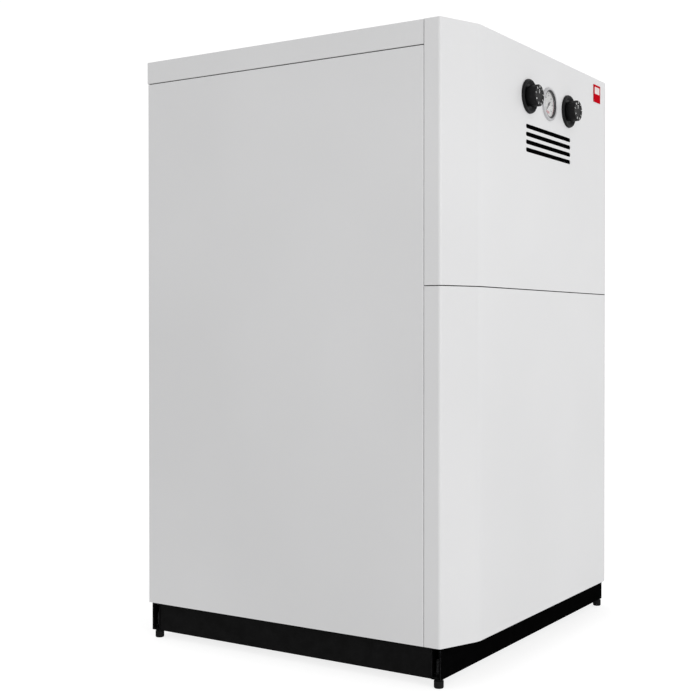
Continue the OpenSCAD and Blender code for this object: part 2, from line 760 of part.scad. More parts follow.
module thermocouple() {
    x = pilot_x - 13;
    color("peru") {
        translate([x, pilot_y, z_burner - 16]) cylinder(h = 46, r = 3.4);
        run([[x, pilot_y, z_burner - 16], [x, pilot_y, plate_gap_z], [x, y_stack - 30, plate_gap_z],
             [x - 20, valve_y + 20, z_burner + 30], [valve_x + 6, valve_y + 14, z_valve - 45],
             [valve_x + 6, valve_y + 14, z_valve - 30 - touch]], 1.5, $fn = 12);
    }
}
module ignition_electrode() {
    x = pilot_x + 13;
    color("ivory") {
        translate([x, pilot_y, z_burner - 18]) cylinder(h = 34, r = 3.4);
        translate([x, pilot_y, z_burner + 10]) cylinder(h = 20, r = 1);
        run([[x, pilot_y, z_burner - 18], [x, pilot_y, plate_gap_z], [x, y_stack - 44, plate_gap_z],
             [piezo_x - 34, y_stack - 44, z_burner + 40], [piezo_x, y_stack - 54, z_valve - 14],
             [piezo_x, valve_y + 16 + touch, z_valve - 14]], 2.5);
    }
}
module pilot_tube() {
    color("silver") run([[pilot_x, pilot_y, z_burner - 9.2], [pilot_x, pilot_y, plate_gap_z],
                         [pilot_x, y_stack - 36, plate_gap_z], [pilot_x, y_stack - 40, z_burner + 36],
                         [valve_x + 24, valve_y + 20, z_valve - 40],
                         [valve_x + 24, valve_y + 20, z_valve - 30 - touch]], 2.9, $fn = 12);
}
piezo_z = z_valve - 14;
module piezo_body() {
    color([0.12, 0.12, 0.12]) difference() {
        union() {
            translate([piezo_x, valve_y - 26, piezo_z]) along_y(42, 9);
            translate([piezo_x, valve_y - 28, piezo_z]) along_y(4, 12);
            slab([piezo_x - 10, manifold_y - 4, z_burner], [piezo_x + 10, manifold_y - 2, piezo_z]);
            translate([piezo_x - 10, manifold_y, z_burner]) along_x(20, manifold_r + 2.5);
        }
        translate([piezo_x - 11, manifold_y, z_burner]) along_x(22, manifold_r + fit);
        translate([piezo_x, valve_y - 30, piezo_z]) along_y(32, 6.5 + fit);
    }
}
module piezo_button() {
    color("firebrick") translate([piezo_x, valve_y - 36, piezo_z]) along_y(30, 6.5);
}
module drain_cock() {
    z = hub_levels[0];
    color("goldenrod") translate([pipe_x, 0, z]) difference() {
        union() {
            translate([0, y_stack - 42, 0]) along_y(34, 10.5);
            translate([0, drain_y - 14, 0]) along_y(28, 15);
            translate([0, drain_y - 34, 0]) along_y(22, 9);
            translate([0, drain_y - 30, 0]) along_y(3, 11);
            translate([0, drain_y, 0]) cylinder(h = 22, r = 7);
        }
        translate([0, drain_y - 40, 0]) along_y(100, 5);
        translate([0, drain_y, 10]) cylinder(h = 30, r = 3 + fit);
    }
}
module drain_lever() {
    color("firebrick") translate([pipe_x, drain_y, hub_levels[0]]) {
        translate([0, 0, 11]) cylinder(h = 16, r = 3);
        translate([0, 0, 23]) cylinder(h = 4, r = 7);
        translate([-42, -4, 23.5]) cube([40, 8, 3]);
    }
}
// Peep hole in the front plate, closed by a flap that swings on a rivet above it
module sight_glass() {
    color([0.7, 0.8, 0.85]) translate([sight_x, y_stack - 2, z_sight]) {
        along_y(2, 14);
        translate([0, 0, 18]) along_y(2, 4);
        translate([0, -4, 18]) along_y(5, 2.5);
        translate([-4, 0, 10]) cube([8, 2, 8]);
    }
}
module sight_flap() {
    color("darkgray") translate([sight_x, y_stack - 4.6, z_sight]) difference() {
        union() {
            along_y(1.6, 12);
            translate([0, 0, 18]) along_y(1.6, 6);
            translate([-6, 0, 0]) cube([12, 1.6, 18]);
            translate([0, -5, -6]) along_y(5, 2.5);
        }
        translate([0, -1, 18]) along_y(4, 2.5 + fit);
    }
}

// ---------- controls ----------
bracket_y = y_face + 14;
module control_bracket() {
    color("lightsteelblue") difference() {
        union() {
            slab([-130, bracket_y, z_controls - 34], [130, bracket_y + 1.5, z_controls + 34]);
            for (z = [z_controls - 35.5, z_controls + 34])
                slab([-130, y_face + sheet_t + touch, z], [130, bracket_y + 1.5, z + 1.5]);
        }
        translate([0, bracket_y - 5, z_controls]) {
            along_y(10, gauge_d / 2 - 3);
            for (s = [-1, 1]) translate([s * knob_gap / 2, 0, 0]) {
                along_y(10, 9);
                for (k = [-1, 1]) translate([k * 14, 0, 0]) along_y(10, 2.2);
            }
        }
    }
}
module thermostats() {
    y0 = bracket_y + 1.5 + touch;
    color("dimgray") for (s = [-1, 1]) translate([s * knob_gap / 2, y0, z_controls]) difference() {
        union() {
            slab([-18, 0, -24], [18, 34, 24]);
            translate([0, -8, 0]) along_y(10, 8.5);
            translate([0, 34, -12]) along_y(5, 6);
            for (x = [-8, 8]) slab([x - 3, 34, 8], [x + 3, 44, 9]);
            for (k = [-1, 1]) translate([k * 14, -3.5, 0]) along_y(5, 2);
        }
        translate([0, -10, 0]) along_y(20, 3 + fit);
    }
}
bezel_t = 5;
// Round plates behind the knobs, with a rounded edge and a sunk seat round the knob
module knob_bezels() {
    r = bezel_d / 2;
    color([0.05, 0.05, 0.05]) for (s = [-1, 1])
        translate([s * knob_gap / 2, y_face - touch, z_controls]) rotate([90, 0, 0]) difference() {
            union() {
                cylinder(h = bezel_t - 2, r = r);
                translate([0, 0, bezel_t - 2]) cylinder(h = 2, r1 = r, r2 = r - 2.5);
                translate([0, 0, -6]) cylinder(h = 7, r = 11.5);
            }
            translate([0, 0, 1.5]) cylinder(h = 10, r = knob_d / 2 + 3.5);
            translate([0, 0, -10]) cylinder(h = 20, r = 3 + 6 * fit);
        }
}
knob_back = 2.5;
module knob(s) {
    color([0.08, 0.08, 0.08]) translate([s * knob_gap / 2, y_face, z_controls]) rotate([90, 0, 0]) {
        difference() {
            union() {
                translate([0, 0, knob_back]) cylinder(h = knob_out - knob_back - 1.5, r = knob_d / 2);
                translate([0, 0, knob_out - 1.5]) cylinder(h = 1.5, r1 = knob_d / 2, r2 = knob_d / 2 - 1.5);
            }
            // Raised grip bar left standing in a shallow dish
            translate([0, 0, knob_out - 5]) difference() {
                cylinder(h = 6, r = knob_d / 2 - 9);
                slab([-3, -12, -1], [3, 12, 4.5]);
            }
        }
        translate([0, 0, -20]) cylinder(h = 22 + knob_back, r = 3);
    }
}
module knob_left() { knob(-1); }
module knob_right() { knob(1); }

module gauge_body() {
    r = gauge_d / 2;
    color([0.9, 0.9, 0.9]) translate([0, y_face - touch, z_controls]) rotate([90, 0, 0]) difference() {
        union() {
            cylinder(h = 3, r = r);
            translate([0, 0, 3]) cylinder(h = 1.5, r1 = r, r2 = r - 1.5);
            translate([0, 0, -34]) cylinder(h = 35, r = r - 4.5);
            translate([0, 0, -40]) cylinder(h = 7, r = 8);
        }
        translate([0, 0, -2]) cylinder(h = 10, r = r - 6);
        translate([0, 0, -6]) cylinder(h = 10, r = 1.5 + fit);
    }
}
module gauge_dial() {
    color("white") translate([0, y_face - touch, z_controls]) rotate([90, 0, 0]) translate([0, 0, -2 + fit])
        difference() {
            cylinder(h = 0.8, r = gauge_d / 2 - 6 - touch);
            translate([0, 0, -1]) cylinder(h = 3, r = 2);
        }
}
module gauge_glass() {
    color([0.9, 0.95, 1, 0.3]) translate([0, y_face - touch - 1.6, z_controls]) rotate([90, 0, 0])
        cylinder(h = 1.4, r = gauge_d / 2 - 6 - touch);
}
// Pointer on its arbor, at rest at the cold end of the scale
module gauge_needle() {
    color([0.1, 0.1, 0.1]) translate([0, y_face - touch, z_controls]) rotate([90, 0, 0]) {
        translate([0, 0, -5]) cylinder(h = 5, r = 1.5);
        translate([0, 0, -0.4]) cylinder(h = 0.8, r = 3);
        translate([0, 0, -0.4]) linear_extrude(0.5)
            rotate([0, 0, 135]) polygon([[-1.3, -8], [1.3, -8], [0.5, 17], [-0.5, 17]]);
    }
}
module capillary_tubes() {
    pocket_x = -stack_half - 13 - 12;
    x = -stack_half - 36;
    color("peru") for (i = [0 : 2]) {
        from = [[-knob_gap / 2, y_face + 14 + 1.5 + 39 + 2 * touch, z_controls - 12],
                [0, y_face + 40 + 2 * touch, z_controls],
                [knob_gap / 2, y_face + 14 + 1.5 + 39 + 2 * touch, z_controls - 12]][i];
        lane = [i * 3, 0, -i * 4];
        run([from, from + [0, 10, 0], [from[0] - 20, y_face + 80, z_controls - 40] + [0, i * 4, 0],
             [x, y_face + 96, z_controls - 50] + lane, [x, hub_y, hub_levels[1] + 60] + lane,
             [x, hub_y, hub_levels[1]] + [i, 3 * (i - 1), 0],
             [pocket_x + 8, hub_y + 3 * (i - 1), hub_levels[1]]], 1, $fn = 12);
    }
}

base_channels();
base_rails();
base_deck();
foot(-1, 0);  // foot_front_left
foot(1, 0);  // foot_front_right
foot(-1, 1);  // foot_rear_left
foot(1, 1);  // foot_rear_right
side_panel_left();
side_panel_right();
back_panel();
top_cover();
upper_front_panel();
lower_front_panel();
name_badge();
inner_frame();
casing_screws();
panel_studs();
panel_clips();
section_left_end();
section_right_end();
middle_sections();
section_nipples();
tie_rods();
port_plugs();
flow_and_return_pipes();
insulation_panels();
flue_collector();
cleaning_cover();
draught_diverter();
flue_spigot();
combustion_chamber();
chamber_boards();
burner_front_plate();
sight_glass();
sight_flap();
burner_tubes();
gas_manifold();
injectors();
gas_valve();
valve_spindle();
valve_knob();
gas_supply_pipe();
pilot_burner();
thermocouple();
ignition_electrode();
pilot_tube();
piezo_body();
piezo_button();
drain_cock();
drain_lever();
control_bracket();
thermostats();
knob_left();
knob_right();
knob_bezels();
gauge_body();
gauge_dial();
gauge_glass();
gauge_needle();
capillary_tubes();
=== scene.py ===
import json
import math

import bmesh
import bpy
from mathutils import Matrix, Vector


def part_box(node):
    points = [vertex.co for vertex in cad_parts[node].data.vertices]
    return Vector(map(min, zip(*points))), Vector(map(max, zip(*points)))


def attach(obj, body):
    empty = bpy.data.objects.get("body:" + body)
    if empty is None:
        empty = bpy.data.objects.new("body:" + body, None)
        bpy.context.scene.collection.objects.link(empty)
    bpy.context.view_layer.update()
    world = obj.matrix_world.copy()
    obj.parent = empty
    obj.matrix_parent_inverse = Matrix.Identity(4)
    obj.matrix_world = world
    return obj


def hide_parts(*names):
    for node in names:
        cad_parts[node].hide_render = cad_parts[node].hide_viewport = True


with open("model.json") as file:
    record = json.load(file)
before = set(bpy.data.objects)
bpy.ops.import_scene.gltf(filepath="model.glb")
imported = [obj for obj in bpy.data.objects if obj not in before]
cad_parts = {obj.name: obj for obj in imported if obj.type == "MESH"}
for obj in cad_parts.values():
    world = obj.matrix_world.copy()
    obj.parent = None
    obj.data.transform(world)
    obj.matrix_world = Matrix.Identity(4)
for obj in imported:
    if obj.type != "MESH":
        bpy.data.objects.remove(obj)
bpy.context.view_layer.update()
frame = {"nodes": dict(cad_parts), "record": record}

# Looks of a floor-standing gas boiler. Everything is in metres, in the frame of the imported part:
# the front faces -Y, +Z is up, the floor is at z = 0.
MM = 0.001
NODES = frame["nodes"]
BODY = "boiler"
# Flat front of the casing and outer face of its back, in metres
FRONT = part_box("lower_front_panel")[0].y
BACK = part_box("back_panel")[1].y
# Points closer than this are one, in metres
SAME = 0.000002
# Edges sharper than this are shaded as edges
SHARP_ANGLE = math.radians(32)


# ---------- materials ----------
class Finish:
    """A Principled material built from nodes, with patterns fixed to the part."""

    def __init__(self, colour, roughness=0.5, metallic=0.0, **sockets):
        self.material = bpy.data.materials.new("finish")
        self.material.use_nodes = True
        self.tree = self.material.node_tree
        self.shader = self.tree.nodes["Principled BSDF"]
        self.where = self.add("ShaderNodeTexCoord").outputs["Object"]
        self.set("Base Color", (*colour, 1))
        self.set("Roughness", roughness)
        self.set("Metallic", metallic)
        for socket, value in sockets.items():
            self.set(socket.replace("_", " "), value)
        self.height = None

    def add(self, kind, inputs=None, **settings):
        node = self.tree.nodes.new(kind)
        for key, value in settings.items():
            setattr(node, key, value)
        for socket, value in (inputs or {}).items():
            node.inputs[socket].default_value = value
        return node

    def link(self, a, b):
        self.tree.links.new(a, b)

    def set(self, socket, value):
        self.shader.inputs[socket].default_value = value

    def drive(self, socket, output):
        self.link(output, self.shader.inputs[socket])

    def noise(self, scale, detail=3.0, roughness=0.5, stretch=(1, 1, 1)):
        spread = self.add("ShaderNodeMapping", {"Scale": stretch})
        self.link(self.where, spread.inputs["Vector"])
        node = self.add("ShaderNodeTexNoise", {"Scale": scale, "Detail": detail, "Roughness": roughness})
        self.link(spread.outputs["Vector"], node.inputs["Vector"])
        return node.outputs["Fac"]

    def cells(self, scale, output="Distance"):
        node = self.add("ShaderNodeTexVoronoi", {"Scale": scale}, feature="F1")
        self.link(self.where, node.inputs["Vector"])
        return node.outputs[output]

    def span(self, value, low, high, start=0.0, end=1.0):
        """value between low and high, spread from start to end."""
        node = self.add("ShaderNodeMapRange")
        for socket, number in zip(node.inputs[1:5], (low, high, start, end)):
            socket.default_value = number
        self.link(value, node.inputs[0])
        return node.outputs[0]

    def blend(self, factor, a, b):
        """Colour a where factor is 0, colour b where it is 1; a colour may be an output."""
        node = self.add("ShaderNodeMix", data_type="RGBA")
        for socket, colour in ((node.inputs[6], a), (node.inputs[7], b)):
            if hasattr(colour, "links"):
                self.link(colour, socket)
            else:
                socket.default_value = (*colour, 1)
        self.link(factor, node.inputs[0])
        return node.outputs[2]

    def bump(self, height, depth, strength=1.0):
        """Raises the surface by height times depth, in metres, on top of any bump before it."""
        node = self.add("ShaderNodeBump", {"Strength": strength, "Distance": depth})
        self.link(height, node.inputs["Height"])
        if self.height:
            self.link(self.height, node.inputs["Normal"])
        self.height = node.outputs["Normal"]
        self.drive("Normal", self.height)

    def both(self, operation, a, b, kind="ShaderNodeMath", output="Value"):
        """Output of a maths node with the two given inputs."""
        node = self.add(kind, operation=operation)
        self.link(a, node.inputs[0])
        self.link(b, node.inputs[1])
        return node.outputs[output]

    def tint(self, pattern, low, high, a, b, most=1.0):
        """Base colour a where pattern is low, going most of the way to b where it is high."""
        self.drive("Base Color", self.blend(self.span(pattern, low, high, 0.0, most), a, b))

    def gloss(self, pattern, low, high, start, end):
        """Roughness from start to end as pattern goes from low to high."""
        self.drive("Roughness", self.span(pattern, low, high, start, end))

    def cover(self, factor, colour):
        """Lays colour over the base colour so far, where factor says."""
        base = self.shader.inputs["Base Color"]
        below = base.links[0].from_socket if base.links else tuple(base.default_value)[:3]
        self.drive("Base Color", self.blend(factor, below, colour))

    def seam_shade(self, reach, colour, amount):
        """Paints shade into corners and gaps narrower than reach, in metres: an ambient-occlusion mask
        darkens the base colour there.
        """
        node = self.add("ShaderNodeAmbientOcclusion", {"Distance": reach}, samples=4, only_local=False)
        self.cover(self.span(node.outputs["AO"], 0.0, 0.75, amount, 0.0), colour)

    def worn_edges(self, radius, colour, amount):
        """Lays colour on edges sharper than radius, in metres, broken up by noise: partly rubbed wear,
        partly a painted highlight on the edges.
        """
        soft = self.add("ShaderNodeBevel", {"Radius": radius}, samples=4)
        normal = self.add("ShaderNodeNewGeometry").outputs["Normal"]
        turn = self.both("DOT_PRODUCT", soft.outputs[0], normal, "ShaderNodeVectorMath")
        edge = self.span(turn, 0.995, 0.88, 0.0, amount)
        patchy = self.span(self.noise(130, 4.0), 0.35, 0.6, 0.35, 1.0)
        self.cover(self.both("MULTIPLY", edge, patchy), colour)


def toned(colour, factor, lift=0.0):
    """The colour times factor, plus lift, no brighter than white."""
    return tuple(min(1.0, c * factor + lift) for c in colour)


def powder_coat(shade):
    """Light grey powder coat: fine orange peel and a faint large-scale unevenness."""
    f = Finish(shade, 0.42, Specular_IOR_Level=0.35)
    f.tint(f.noise(2.2, 2.0), 0.35, 0.65, toned(shade, 0.975), toned(shade, 1.018))
    f.gloss(f.noise(900, 2.0), 0.3, 0.7, 0.36, 0.50)
    f.bump(f.noise(620, 2.0, 0.45), 0.00006)
    f.bump(f.noise(3.0, 1.0), 0.0009)
    return f


def black_paint(tone, shine):
    """Deep black stove paint with slight peel, a little dust, and lighter rubbed edges that are partly
    wear and partly painted highlight.
    """
    f = Finish((tone, tone, tone), 0.45, Specular_IOR_Level=shine)
    dusty = (tone * 1.5, tone * 1.5, tone * 1.54)
    f.tint(f.noise(60, 4.0), 0.3, 0.8, (tone * 0.85,) * 3, dusty)
    f.gloss(f.noise(140, 3.0), 0.3, 0.7, 0.36, 0.55)
    f.bump(f.noise(480, 2.0), 0.00005)
    # Lighter edges: partly rubbed wear, partly painted highlight.
    f.worn_edges(0.0010, (0.10, 0.10, 0.105), 0.45)
    return f


def moulded(colour, roughness=0.45, grain=1500, depth=0.00004, shine=0.5):
    """Moulded plastic with a fine spark-eroded grain and slightly uneven gloss."""
    f = Finish(colour, roughness, Specular_IOR_Level=shine)
    f.tint(f.noise(90, 3.0), 0.35, 0.75, colour, toned(colour, 1.25, 0.002), 0.6)
    f.gloss(f.noise(300, 2.0), 0.3, 0.7, roughness - 0.06, roughness + 0.08)
    f.bump(f.noise(grain, 2.0), depth)
    return f


def galvanised():
    """Zinc-coated sheet: metal spangle cells with their own tone and gloss, and rolling lines."""
    f = Finish((0.55, 0.57, 0.59), 0.4, 1.0)
    split = f.add("ShaderNodeSeparateColor")
    f.link(f.cells(110, output="Color"), split.inputs[0])
    tone = f.span(split.outputs[0], 0.0, 1.0, 0.25, 0.75)
    f.tint(tone, 0.0, 1.0, (0.46, 0.475, 0.49), (0.60, 0.612, 0.625))
    f.gloss(tone, 0.0, 1.0, 0.34, 0.46)
    f.bump(f.noise(260, 3.0, stretch=(1, 1, 0.15)), 0.00005)
    return f


def brushed(colour, roughness=0.3, stretch=(1, 12, 12), metallic=1.0):
    """Drawn or brushed metal, with lines along X by default and faint tarnish."""
    f = Finish(colour, roughness, metallic)
    f.tint(f.noise(45, 4.0), 0.45, 0.75, colour, toned(colour, 0.72), 0.7)
    lines = f.noise(120, 3.0, 0.6, stretch)
    f.gloss(lines, 0.25, 0.75, roughness - 0.08, roughness + 0.14)
    f.bump(lines, 0.00004)
    return f


def casting(colour, metallic=0.0, roughness=0.72, grain=340, depth=0.00035, contrast=0.4):
    """Sand-cast or die-cast metal: coarse grain, shallow pits and a darker tone in the hollows."""
    f = Finish(colour, roughness, metallic)
    grit = f.noise(grain, 5.0, 0.6)
    f.tint(grit, 0.3, 0.7, toned(colour, 1 - contrast * 0.75), toned(colour, 1 + contrast * 1.25, 0.01))
    f.gloss(f.noise(60, 3.0), 0.3, 0.7, roughness - 0.1, roughness + 0.1)
    f.bump(grit, depth)
    f.bump(f.cells(grain * 0.35), depth * 0.7, 0.6)
    return f


def foil():
    """Aluminium foil glued on mineral wool: a thread grid shows through, with small wrinkles."""
    f = Finish((0.66, 0.67, 0.68), 0.38, 0.8)
    fine = f.noise(55, 6.0, 0.68)
    f.tint(fine, 0.35, 0.7, (0.55, 0.56, 0.57), (0.76, 0.77, 0.78))
    f.gloss(fine, 0.3, 0.7, 0.30, 0.52)
    for direction in "XYZ":
        grid = f.add("ShaderNodeTexWave", {"Scale": 22.0, "Distortion": 0.4, "Detail": 1.0},
                     bands_direction=direction, wave_profile="SIN")
        f.link(f.where, grid.inputs["Vector"])
        f.bump(f.span(grid.outputs["Fac"], 0.90, 1.0), 0.00025, 0.8)
    f.bump(f.span(f.noise(16, 4.0, 0.6), 0.44, 0.50), 0.0010, 0.5)
    f.bump(fine, 0.0010, 0.6)
    return f


def heat_tinted(colour):
    """Stainless sheet with straw and blue tints where the flames heat it, and drawing lines."""
    f = Finish(colour, 0.34, 1.0)
    split = f.add("ShaderNodeSeparateXYZ")
    f.link(f.where, split.inputs[0])
    wander = f.span(f.noise(14, 2.0), 0.3, 0.7, -0.012, 0.012)
    height = f.both("ADD", split.outputs[2], wander)
    f.tint(height, 0.195, 0.222, colour, (0.44, 0.30, 0.14), 0.85)
    f.cover(f.span(height, 0.216, 0.234, 0.0, 0.75), (0.13, 0.15, 0.26))
    lines = f.noise(150, 3.0, 0.6, (14, 1, 14))
    f.gloss(lines, 0.25, 0.75, 0.26, 0.46)
    f.bump(lines, 0.00004)
    return f


def wool_fibre():
    """Cut edge of mineral wool: ochre fibres in layers."""
    f = Finish((0.55, 0.42, 0.2), 0.95, Sheen_Weight=0.4)
    layer = f.noise(420, 6.0, 0.75, (1, 1, 0.25))
    f.tint(layer, 0.3, 0.7, (0.36, 0.27, 0.11), (0.72, 0.6, 0.34))
    f.bump(layer, 0.0015)
    return f


def fibre_board():
    """Off-white ceramic fibre board with a felted face."""
    f = Finish((0.78, 0.75, 0.66), 0.95)
    felt = f.noise(300, 6.0, 0.7)
    f.tint(felt, 0.3, 0.7, (0.68, 0.64, 0.54), (0.86, 0.84, 0.77))
    f.bump(felt, 0.0006)
    return f


def glazed(colour):
    """Glazed insulator: smooth with tiny specks."""
    f = Finish(colour, 0.15, Coat_Weight=0.6)
    f.tint(f.noise(700, 2.0), 0.62, 0.75, colour, (0.6, 0.57, 0.5))
    return f


def clear_glass():
    """Thin clear pane: mostly see-through, with reflections at a slant and light smears."""
    f = Finish((0.95, 0.97, 0.97), 0.03, Transmission_Weight=1.0, IOR=1.45)
    f.gloss(f.noise(40, 3.0), 0.4, 0.8, 0.01, 0.08)
    slant = f.add("ShaderNodeLayerWeight", {"Blend": 0.22})
    outside = f.add("ShaderNodeNewGeometry")
    front = f.span(outside.outputs["Backfacing"], 0.0, 1.0, 0.8, 0.0)
    mirror = f.add("ShaderNodeBsdfGlossy", {"Roughness": 0.04})
    sheen = f.both("MULTIPLY", slant.outputs["Fresnel"], front)
    mix = f.add("ShaderNodeMixShader")
    layers = (sheen, f.add("ShaderNodeBsdfTransparent").outputs[0], mirror.outputs[0])
    for layer, socket in zip(layers, mix.inputs):
        f.link(layer, socket)
    f.link(mix.outputs[0], f.tree.nodes["Material Output"].inputs["Surface"])
    return f


def printed(colour, roughness=0.5, shine=0.4):
    """Printing ink or enamel with faintly uneven cover."""
    f = Finish(colour, roughness, Specular_IOR_Level=shine)
    f.tint(f.noise(500, 3.0), 0.4, 0.7, colour, toned(colour, 0.86, 0.002))
    f.bump(f.noise(900, 2.0), 0.00002)
    return f


def make_finishes():
    """One finish for each material slot of the record, and a few for printed marks."""
    made = {
        "casing_paint": powder_coat((0.70, 0.70, 0.705)),
        "base_paint": black_paint(0.0052, 0.03),
        # Darker copy of the black base paint with no shine: painted shade for the fronts of the base
        # channels and the sheet behind the slots.
        "shaded_black_paint": black_paint(0.0016, 0.0),
        "black_plastic": moulded((0.009, 0.009, 0.0095), 0.46, shine=0.12),
        "grey_plastic": brushed((0.62, 0.62, 0.63), 0.35, (8, 8, 8), 0.6),
        "badge_red": printed((0.52, 0.003, 0.010), 0.4, 0.0),
        "zinc_steel": galvanised(),
        "stainless": heat_tinted((0.44, 0.425, 0.40)),
        "bright_steel": brushed((0.62, 0.62, 0.62), 0.28),
        "cast_iron": casting((0.055, 0.055, 0.06)),
        "pipe_steel": casting((0.075, 0.075, 0.08), 0.3, 0.5, 700, 0.0001),
        "brass": brushed((0.62, 0.42, 0.14), 0.28, (1, 6, 6)),
        "copper": brushed((0.62, 0.28, 0.16), 0.3, (1, 6, 6)),
        "alu_cast": casting((0.50, 0.51, 0.52), 0.9, 0.48, 900, 0.00004, 0.12),
        "wool": foil(),
        "ceramic_board": fibre_board(),
        "ceramic_white": glazed((0.82, 0.80, 0.75)),
        "glass": clear_glass(),
        "dial_card": printed((0.60, 0.60, 0.595), 0.6),
        "red_plastic": moulded((0.42, 0.012, 0.012), 0.35),
        "rubber": moulded((0.006, 0.006, 0.006), 0.7, 800, 0.0001, 0.12),
        "white_ink": printed((0.88, 0.88, 0.87), 0.45),
        "black_ink": printed((0.02, 0.02, 0.02), 0.5),
        "red_ink": printed((0.50, 0.26, 0.27), 0.5),
        "needle_grey": moulded((0.10, 0.10, 0.105), 0.5, shine=0.3),
        "badge_white": printed((0.80, 0.68, 0.67), 0.45),
        "ring_grey": moulded((0.055, 0.055, 0.057), 0.5, shine=0.3),
        "wire_white": moulded((0.62, 0.60, 0.56), 0.4, 600),
        "wool_fibre": wool_fibre(),
        "wire_blue": moulded((0.03, 0.10, 0.35), 0.45, 600),
        "wire_brown": moulded((0.16, 0.06, 0.02), 0.45, 600),
    }
    # Painted shade in the casing's seams, gaps and corners, from an ambient-occlusion mask.
    made["casing_paint"].seam_shade(0.006, (0.10, 0.10, 0.105), 0.85)
    # Painted highlight: a near-white colour on the casing's edges, laid through the edge mask.
    made["casing_paint"].worn_edges(0.0016, (0.86, 0.86, 0.86), 0.6)
    # Lighter edges on cast iron and pipe steel: partly rubbed wear, partly painted highlight.
    made["cast_iron"].worn_edges(0.003, (0.13, 0.125, 0.12), 0.5)
    made["pipe_steel"].worn_edges(0.0015, (0.30, 0.29, 0.28), 0.6)
    for name, finish in made.items():
        finish.material.name = name
    return {name: finish.material for name, finish in made.items()}


FINISH = make_finishes()


# ---------- carried-over CAD nodes ----------
def add_modifier(obj, name, kind, **settings):
    modifier = obj.modifiers.new(name, kind)
    for key, value in settings.items():
        setattr(modifier, key, value)
    return modifier


def finish_node(node, slot):
    """The node's finish, softened edges and clean shading; its own mesh stays as packed."""
    obj = NODES[node]
    obj.data.materials.clear()
    obj.data.materials.append(FINISH[slot])
    if "custom_normal" in obj.data.attributes:
        obj.data.attributes.remove(obj.data.attributes["custom_normal"])
    for face in obj.data.polygons:
        face.use_smooth = True
    add_modifier(obj, "weld", "WELD", merge_threshold=SAME)
    add_modifier(obj, "flat", "DECIMATE", decimate_type="DISSOLVE", angle_limit=math.radians(0.3))
    add_modifier(obj, "edge", "BEVEL", width=EDGE.get(node, 0.3) * MM, segments=2,
                 limit_method="ANGLE", angle_limit=math.radians(28), harden_normals=False,
                 use_clamp_overlap=True)
    add_modifier(obj, "even", "WEIGHTED_NORMAL", weight=60, keep_sharp=False)


# Nodes whose finish differs from their slot's
# The base channels take the darker copy of the black paint, which is painted shade.
NODE_FINISH = {"base_channels": "shaded_black_paint"}
# Edge rounding in millimetres where a node's differs from a sheet's
EDGE = {
    "section_left_end": 2.0, "section_right_end": 2.0, "middle_sections": 2.0,
    "gas_valve": 1.5, "port_plugs": 1.0, "chamber_boards": 1.5, "base_channels": 0.5,
    "base_rails": 0.5, "thermostats": 1.0, "drain_cock": 0.5, "name_badge": 0.3,
}


def finish_all_nodes():
    """Gives every carried-over node the finish of its material slot."""
    for part in frame["record"]["subparts"]:
        finish_node(part["node"], NODE_FINISH.get(part["node"], part["material_slot"]))


# ---------- mesh helpers ----------
def mm(x, y, z):
    """A step given in mm, in metres."""
    return Vector((x, y, z)) * MM


def moved(place, x, y, z):
    """place moved by a step in mm along its own axes."""
    return place @ Matrix.Translation(mm(x, y, z))


def turned(place, degrees, axis="Z"):
    """place turned about one of its own axes."""
    return place @ Matrix.Rotation(math.radians(degrees), 4, axis)


def new_object(name, data):
    obj = bpy.data.objects.new(name, data)
    bpy.context.scene.collection.objects.link(obj)
    return obj


def applied(obj):
    """A new mesh of the object with its modifiers applied."""
    bpy.context.view_layer.update()
    return bpy.data.meshes.new_from_object(obj.evaluated_get(bpy.context.evaluated_depsgraph_get()))


def mesh_of(name, bm):
    """bm as a mesh with its faces outwards; bm is freed."""
    mesh = bpy.data.meshes.new(name)
    bmesh.ops.recalc_face_normals(bm, faces=bm.faces)
    bm.to_mesh(mesh)
    bm.free()
    return mesh


def make_piece(name, bm, body, slot, finishes=None, replaces=(), smooth=True):
    """A new object from bm that rides on body; finishes lists its materials, if not just slot's."""
    bmesh.ops.remove_doubles(bm, verts=bm.verts, dist=SAME)
    obj = new_object(name, mesh_of(name, bm))
    mesh = obj.data
    for finish in finishes or [slot]:
        mesh.materials.append(FINISH[finish])
    if smooth:
        for face in mesh.polygons:
            face.use_smooth = True
        mesh.set_sharp_from_angle(angle=SHARP_ANGLE)
    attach(obj, body)
    if replaces:
        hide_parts(*replaces)
    return obj


def corner_curve(here, a, b, back, steps):
    """Points of a curve round the corner here, from back before it towards a to back after it."""
    start, end = here + a.normalized() * back, here + b.normalized() * back
    turns = [k / steps for k in range(steps + 1)]
    return [(1 - t) ** 2 * start + 2 * t * (1 - t) * here + t ** 2 * end for t in turns]


# Half the angle of a corner that is too flat for a fillet
NEARLY_STRAIGHT = math.radians(89)


def rounded(points, steps=4):
    """An outline through points given as (r, h), or as (r, h, fillet) where a corner is filleted."""
    spots = [Vector(point[:2]) for point in points]
    out = []
    for i, (here, point) in enumerate(zip(spots, points)):
        if len(point) == 2:
            out.append(here)
            continue
        a, b = spots[i - 1] - here, spots[i + 1] - here
        half = a.angle(b) / 2
        if half > NEARLY_STRAIGHT:
            out.append(here)
            continue
        back = min(point[2] / math.tan(half), a.length * 0.49, b.length * 0.49)
        out += corner_curve(here, a, b, back, steps)
    return out


